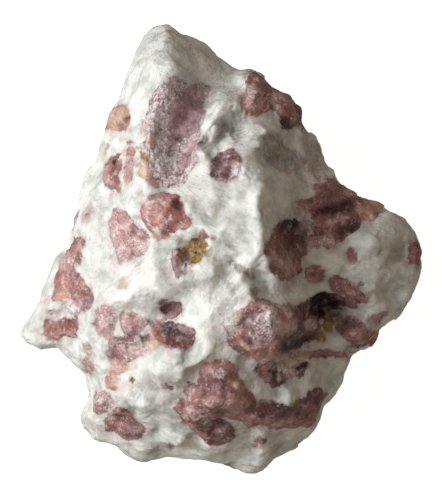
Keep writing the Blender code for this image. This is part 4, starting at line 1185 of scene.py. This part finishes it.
def make_glitter():
    """Leans the normal by a random amount in every small cell."""
    group, ins, outs = new_group(
        "glitter",
        [
            ("Place", "NodeSocketVector", None),
            ("Normal", "NodeSocketVector", None),
            ("Size mm", "NodeSocketFloat", 0.3),
            ("Lean", "NodeSocketFloat", 0.2),
            ("Rare lean", "NodeSocketFloat", 0.8),
        ],
        [("Normal", "NodeSocketVector"), ("Flash", "NodeSocketFloat")],
    )
    cells = group.nodes.new("ShaderNodeTexVoronoi")
    link(group, ins.outputs["Place"], cells.inputs["Vector"])
    link(group, math_node(group, "DIVIDE", 1 / MM, ins.outputs["Size mm"]), cells.inputs["Scale"])
    middle = group.nodes.new("ShaderNodeVectorMath")
    middle.operation = "SUBTRACT"
    link(group, cells.outputs["Color"], middle.inputs[0])
    middle.inputs[1].default_value = (0.5, 0.5, 0.5)
    lean = group.nodes.new("ShaderNodeVectorMath")
    lean.operation = "SCALE"
    link(group, middle.outputs[0], lean.inputs[0])
    parts = group.nodes.new("ShaderNodeSeparateColor")
    link(group, cells.outputs["Color"], parts.inputs[0])
    rare = spread(group, parts.outputs[1], 0.88, 0.92)
    far = math_node(group, "MULTIPLY", ins.outputs["Rare lean"], rare)
    link(group, math_node(group, "MAXIMUM", ins.outputs["Lean"], far), lean.inputs["Scale"])
    total = group.nodes.new("ShaderNodeVectorMath")
    link(group, ins.outputs["Normal"], total.inputs[0])
    link(group, lean.outputs[0], total.inputs[1])
    unit = group.nodes.new("ShaderNodeVectorMath")
    unit.operation = "NORMALIZE"
    link(group, total.outputs[0], unit.inputs[0])
    link(group, unit.outputs[0], outs.inputs["Normal"])
    link(group, rare, outs.inputs["Flash"])
    return group


glitter = make_glitter()

# %% The albite's colour and grain


def make_albite():
    group, ins, outs = new_group(
        "albite",
        [
            ("Place", "NodeSocketVector", None),
            ("Drawn", "NodeSocketVector", None),
        ],
        [
            ("Color", "NodeSocketColor"),
            ("Height", "NodeSocketFloat"),
            ("Roughness", "NodeSocketFloat"),
        ],
    )
    place, drawn = ins.outputs["Place"], ins.outputs["Drawn"]
    fibres = grain_noise(group, drawn, 0.20, 4.0, 0.65)
    zone = spread(group, grain_noise(group, place, 6.0, 2.0, 0.5), 0.42, 0.58, 0.35, 1.0)
    fibres = math_node(group, "MULTIPLY_ADD", math_node(group, "SUBTRACT", fibres, 0.5), zone, 0.5)
    cloud = grain_noise(group, place, 3.2, 6.0, 0.65)
    speck = grain_noise(group, place, 0.45, 4.0, 0.7)
    colour = blend(group, spread(group, cloud, 0.42, 0.66), (0.87, 0.905, 0.87), (0.57, 0.62, 0.585))
    ivory = grain_noise(group, place, 9.0, 2.0, 0.5)
    colour = blend(group, spread(group, ivory, 0.5, 0.7, 0.0, 0.3), colour, (0.86, 0.83, 0.76))
    colour = blend(group, spread(group, fibres, 0.52, 0.66, 0.0, 0.6), colour, (0.93, 0.93, 0.91))
    colour = blend(group, spread(group, fibres, 0.48, 0.34, 0.0, 0.45), colour, (0.54, 0.57, 0.53))
    colour = blend(group, spread(group, speck, 0.60, 0.74, 0.0, 0.5), colour, (0.92, 0.92, 0.91))
    colour = blend(group, spread(group, speck, 0.38, 0.26, 0.0, 0.25), colour, (0.46, 0.48, 0.45))
    dots = group.nodes.new("ShaderNodeTexVoronoi")
    dots.inputs["Scale"].default_value = 1 / (2.6 * MM)
    link(group, place, dots.inputs["Vector"])
    parts = group.nodes.new("ShaderNodeSeparateColor")
    link(group, dots.outputs["Color"], parts.inputs[0])
    dot = math_node(group, "MULTIPLY_ADD", speck, 0.05, dots.outputs["Distance"])
    dot = spread(group, dot, 0.10, 0.06)
    dot = math_node(group, "MULTIPLY", dot, spread(group, parts.outputs[0], 0.75, 0.95, 0.0, 0.8))
    colour = blend(group, dot, colour, (0.24, 0.17, 0.13))
    link(group, colour, outs.inputs["Color"])
    height = math_node(group, "ADD", math_node(group, "MULTIPLY", fibres, 1.2), speck)
    link(group, height, outs.inputs["Height"])
    link(group, spread(group, speck, 0.3, 0.7, 0.62, 0.34), outs.inputs["Roughness"])
    return group


albite_look = make_albite()

# %% The tourmaline's colour and grain


def make_tourmaline():
    group, ins, outs = new_group(
        "tourmaline",
        [
            ("Place", "NodeSocketVector", None),
            ("Drawn", "NodeSocketVector", None),
            ("Tint", "NodeSocketColor", None),
            ("Sugar", "NodeSocketFloat", 0.3),
        ],
        [
            ("Color", "NodeSocketColor"),
            ("Height", "NodeSocketFloat"),
            ("Roughness", "NodeSocketFloat"),
        ],
    )
    place, tint = ins.outputs["Place"], ins.outputs["Tint"]
    mottle = grain_noise(group, place, 2.0, 6.0, 0.6)
    fine = grain_noise(group, place, 0.35, 4.0, 0.7)
    cracks = group.nodes.new("ShaderNodeTexVoronoi")
    cracks.feature = "DISTANCE_TO_EDGE"
    cracks.inputs["Scale"].default_value = 1 / (1.1 * MM)
    link(group, place, cracks.inputs["Vector"])
    darker = group.nodes.new("ShaderNodeMix")
    darker.data_type = "RGBA"
    darker.blend_type = "MULTIPLY"
    darker.inputs[0].default_value = 1.0
    link(group, tint, darker.inputs[6])
    darker.inputs[7].default_value = (0.62, 0.52, 0.52, 1.0)
    colour = blend(group, spread(group, mottle, 0.34, 0.52), darker.outputs[2], tint)
    red = group.nodes.new("ShaderNodeSeparateColor")
    link(group, tint, red.inputs[0])
    lift = spread(group, red.outputs[0], 0.12, 0.42, 0.15, 0.5)
    lighter = blend(group, lift, tint, (0.86, 0.60, 0.57))
    colour = blend(group, spread(group, mottle, 0.52, 0.66), colour, lighter)
    colour = blend(group, spread(group, fine, 0.42, 0.28, 0.0, 0.25), colour, darker.outputs[2])
    crumb = grain_noise(group, place, 0.22, 3.0, 0.8)
    colour = blend(group, spread(group, crumb, 0.47, 0.34, 0.0, 0.6), colour, darker.outputs[2])
    pale = spread(group, ins.outputs["Sugar"], 0.05, 0.35, 0.15, 1.0)
    pale = math_node(group, "MULTIPLY", spread(group, crumb, 0.55, 0.68, 0.0, 0.55), pale)
    colour = blend(group, pale, colour, lighter)
    threads = grain_noise(group, ins.outputs["Drawn"], 0.16, 3.0, 0.6)
    white = math_node(group, "MAXIMUM", fine, math_node(group, "SUBTRACT", threads, 0.10))
    white = math_node(group, "MULTIPLY_ADD", ins.outputs["Sugar"], 0.24, white)
    white = spread(group, white, 0.66, 0.82, 0.0, 0.75)
    white = math_node(group, "MULTIPLY", white, spread(group, ins.outputs["Sugar"], 0.1, 0.6, 0.05, 1.0))
    colour = blend(group, white, colour, (0.90, 0.80, 0.78))
    deep = group.nodes.new("ShaderNodeMix")
    deep.data_type = "RGBA"
    deep.blend_type = "MULTIPLY"
    grit = grain_noise(group, place, 0.9, 4.0, 0.7)
    grit = math_node(group, "MULTIPLY", spread(group, grit, 0.52, 0.40), ins.outputs["Sugar"])
    link(group, math_node(group, "MULTIPLY", grit, 0.9), deep.inputs[0])
    link(group, colour, deep.inputs[6])
    deep.inputs[7].default_value = (0.58, 0.48, 0.53, 1.0)
    colour = deep.outputs[2]
    vein = spread(group, cracks.outputs["Distance"], 0.08, 0.02, 0.0, 0.3)
    vein = math_node(group, "MULTIPLY", vein, spread(group, mottle, 0.5, 0.62))
    colour = blend(group, vein, colour, (0.84, 0.74, 0.72))
    link(group, colour, outs.inputs["Color"])
    crumbs = math_node(group, "MULTIPLY", fine, math_node(group, "ADD", ins.outputs["Sugar"], 0.08))
    link(group, math_node(group, "MULTIPLY_ADD", mottle, 0.5, crumbs), outs.inputs["Height"])
    link(group, spread(group, fine, 0.35, 0.65, 0.20, 0.40), outs.inputs["Roughness"])
    return group


tourmaline_look = make_tourmaline()

# %% The materials


def use_group(tree, group, **inputs):
    node = tree.nodes.new("ShaderNodeGroup")
    node.node_tree = group
    for label, value in inputs.items():
        if isinstance(value, (int, float)):
            node.inputs[label].default_value = value
        else:
            link(tree, value, node.inputs[label])
    return node


def stone_material(name, glow, glow_colour, bump, shine=0.3):
    """A mineral that frays into the albite: glow is how much light goes through it."""
    made = bpy.data.materials.new(name)
    made.use_nodes = True
    tree = made.node_tree
    shader = tree.nodes["Principled BSDF"]
    place = object_place(tree)
    tint = attribute(tree, "tint").outputs["Color"]
    cover = attribute(tree, "cover").outputs["Fac"]
    way = attribute(tree, "fibre").outputs["Vector"]
    drawn = use_group(tree, drawn_out, Place=place, Fibre=way).outputs[0]
    mask = use_group(tree, fray, Cover=cover, Place=place, Drawn=drawn).outputs[0]
    white = use_group(tree, albite_look, Place=place, Drawn=drawn)
    sugar = attribute(tree, "sugar").outputs["Fac"]
    red = use_group(tree, tourmaline_look, Place=place, Drawn=drawn, Tint=tint, Sugar=sugar)
    colour = blend(tree, mask, white.outputs["Color"], red.outputs["Color"])
    rough = tree.nodes.new("ShaderNodeMix")
    link(tree, mask, rough.inputs[0])
    link(tree, white.outputs["Roughness"], rough.inputs[2])
    link(tree, red.outputs["Roughness"], rough.inputs[3])
    height = tree.nodes.new("ShaderNodeMix")
    link(tree, mask, height.inputs[0])
    link(tree, white.outputs["Height"], height.inputs[2])
    link(tree, red.outputs["Height"], height.inputs[3])
    relief = tree.nodes.new("ShaderNodeBump")
    relief.inputs["Strength"].default_value = 1.0
    relief.inputs["Distance"].default_value = bump * MM
    link(tree, height.outputs[0], relief.inputs["Height"])
    blades = tree.nodes.new("ShaderNodeMix")
    blades.data_type = "VECTOR"
    link(tree, spread(tree, mask, 0.3, 0.7), blades.inputs[0])
    link(tree, drawn, blades.inputs[4])
    link(tree, place, blades.inputs[5])
    flash = use_group(tree, glitter, Place=blades.outputs[1], Normal=relief.outputs["Normal"])
    flash.inputs["Size mm"].default_value = 0.22
    lean = tree.nodes.new("ShaderNodeMix")
    link(tree, mask, lean.inputs[0])
    lean.inputs[2].default_value = 0.28
    link(tree, math_node(tree, "MULTIPLY_ADD", sugar, 0.55, 0.06), lean.inputs[3])
    link(tree, lean.outputs[0], flash.inputs["Lean"])
    link(tree, flash.outputs["Normal"], shader.inputs["Normal"])
    # painted glint: rare flashing cells get a whitened colour that stands in for their reflection of the
    # window
    painted_glint = tree.nodes.new("ShaderNodeMix")
    link(tree, mask, painted_glint.inputs[0])
    painted_glint.inputs[2].default_value = 0.3
    link(tree, math_node(tree, "MULTIPLY_ADD", sugar, 0.55, 0.03), painted_glint.inputs[3])
    painted_glint = math_node(tree, "MULTIPLY", painted_glint.outputs[0], flash.outputs["Flash"])
    link(tree, blend(tree, painted_glint, colour, (0.95, 0.93, 0.92)), shader.inputs["Base Color"])
    gloss = tree.nodes.new("ShaderNodeMix")
    link(tree, flash.outputs["Flash"], gloss.inputs[0])
    link(tree, rough.outputs[0], gloss.inputs[2])
    gloss.inputs[3].default_value = 0.14
    link(tree, gloss.outputs[0], shader.inputs["Roughness"])
    shader.inputs["Subsurface Weight"].default_value = glow
    shader.inputs["Subsurface Radius"].default_value = glow_colour
    shader.inputs["Subsurface Scale"].default_value = 1.1 * MM
    shader.inputs["IOR"].default_value = 1.54
    shader.inputs["Specular IOR Level"].default_value = shine
    return made


materials = {
    "white": stone_material("albite stone", 0.7, (1.0, 0.95, 0.88), 0.16, shine=0.5),
    "rose": stone_material("rose tourmaline", 0.5, (1.0, 0.35, 0.30), 0.12),
    "dusky": stone_material("dusky tourmaline", 0.4, (1.0, 0.30, 0.25), 0.12),
    "dark": stone_material("dark tourmaline", 0.10, (1.0, 0.25, 0.2), 0.12),
    "pale": stone_material("pale tourmaline", 0.5, (1.0, 0.45, 0.40), 0.12),
    "orange": stone_material("salmon tourmaline", 0.30, (1.0, 0.45, 0.30), 0.08),
    "lilac": stone_material("lilac mica", 0.5, (1.0, 0.70, 0.75), 0.12),
    "gold": stone_material("golden grain", 0.15, (1.0, 0.70, 0.30), 0.12),
}

# %% Put the pieces in place of the solids


def finish_piece(obj, node):
    slot = slot_of[node]
    obj.data.materials.clear()
    obj.data.materials.append(materials[slot])
    obj.data.polygons.foreach_set("material_index", np.zeros(len(obj.data.polygons), np.int32))
    obj.data.update()
    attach(obj, "root")
    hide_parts(node)


finish_piece(whole, MATRIX)
for name, obj in crystals.items():
    finish_piece(obj, name)
left = [name for name in grain_names if name not in crystals]
print("grains with no piece of their own:", left)

# %% [markdown]
# ## Floor, light and camera
#
# The photograph looks straight down. Its light comes from the left, a broad window rather than
# a lamp, and leaves the right-hand slopes grey-brown.

# %% Floor
floor_form = bmesh.new()
bmesh.ops.create_grid(floor_form, x_segments=1, y_segments=1, size=2.0)
floor_mesh = bpy.data.meshes.new("floor")
floor_form.to_mesh(floor_mesh)
floor_form.free()
floor = add_object("floor", floor_mesh)
paper = bpy.data.materials.new("paper floor")
paper.use_nodes = True
paper.node_tree.nodes["Principled BSDF"].inputs["Base Color"].default_value = (0.93, 0.93, 0.93, 1)
paper.node_tree.nodes["Principled BSDF"].inputs["Roughness"].default_value = 0.9
paper.node_tree.nodes["Principled BSDF"].inputs["Emission Color"].default_value = (1, 1, 1, 1)
paper.node_tree.nodes["Principled BSDF"].inputs["Emission Strength"].default_value = 0.85
floor_mesh.materials.append(paper)
floor.visible_diffuse = False
floor.visible_glossy = False

# %% Light


def window(name, azimuth, elevation, distance, size, power, colour):
    """A square soft light that looks at the stone from a compass direction."""
    data = bpy.data.lights.new(name, "AREA")
    data.size = size
    data.energy = power
    data.color = colour
    made = bpy.data.objects.new(name, data)
    bpy.context.scene.collection.objects.link(made)
    turn, rise = math.radians(azimuth), math.radians(elevation)
    way = Vector((math.cos(turn) * math.cos(rise), math.sin(turn) * math.cos(rise), math.sin(rise)))
    made.location = way * distance + Vector((0, 0, 0.015))
    made.rotation_euler = way.to_track_quat("Z", "Y").to_euler()
    return made


window("window", 173, 41, 0.24, 0.20, 0.61, (0.98, 0.99, 1.0))
window("lamp", 170, 38, 0.30, 0.03, 0.09, (1.0, 1.0, 0.98))
world = bpy.data.worlds.new("room")
bpy.context.scene.world = world
world.use_nodes = True
world.node_tree.nodes["Background"].inputs["Color"].default_value = (1.0, 0.82, 0.67, 1)
world.node_tree.nodes["Background"].inputs["Strength"].default_value = 0.255
bpy.context.scene.view_settings.view_transform = "Standard"

# %% Camera
PHOTO_HIGH = 500
STONE_HIGH = 452
camera_data = bpy.data.cameras.new("camera")
camera = bpy.data.objects.new("camera", camera_data)
bpy.context.scene.collection.objects.link(camera)
DISTANCE = 0.55
low, high = cad_box
span = (high.y - low.y) * PHOTO_HIGH / STONE_HIGH
camera.location = (0, 0, DISTANCE + 0.013)
camera_data.sensor_width = 36.0
camera_data.lens = 36.0 * DISTANCE / span
camera_data.clip_start = 0.01
bpy.context.scene.camera = camera

# %% Write the sizes and finish
print("CAD box", [round(v / MM, 1) for c in cad_box for v in c])
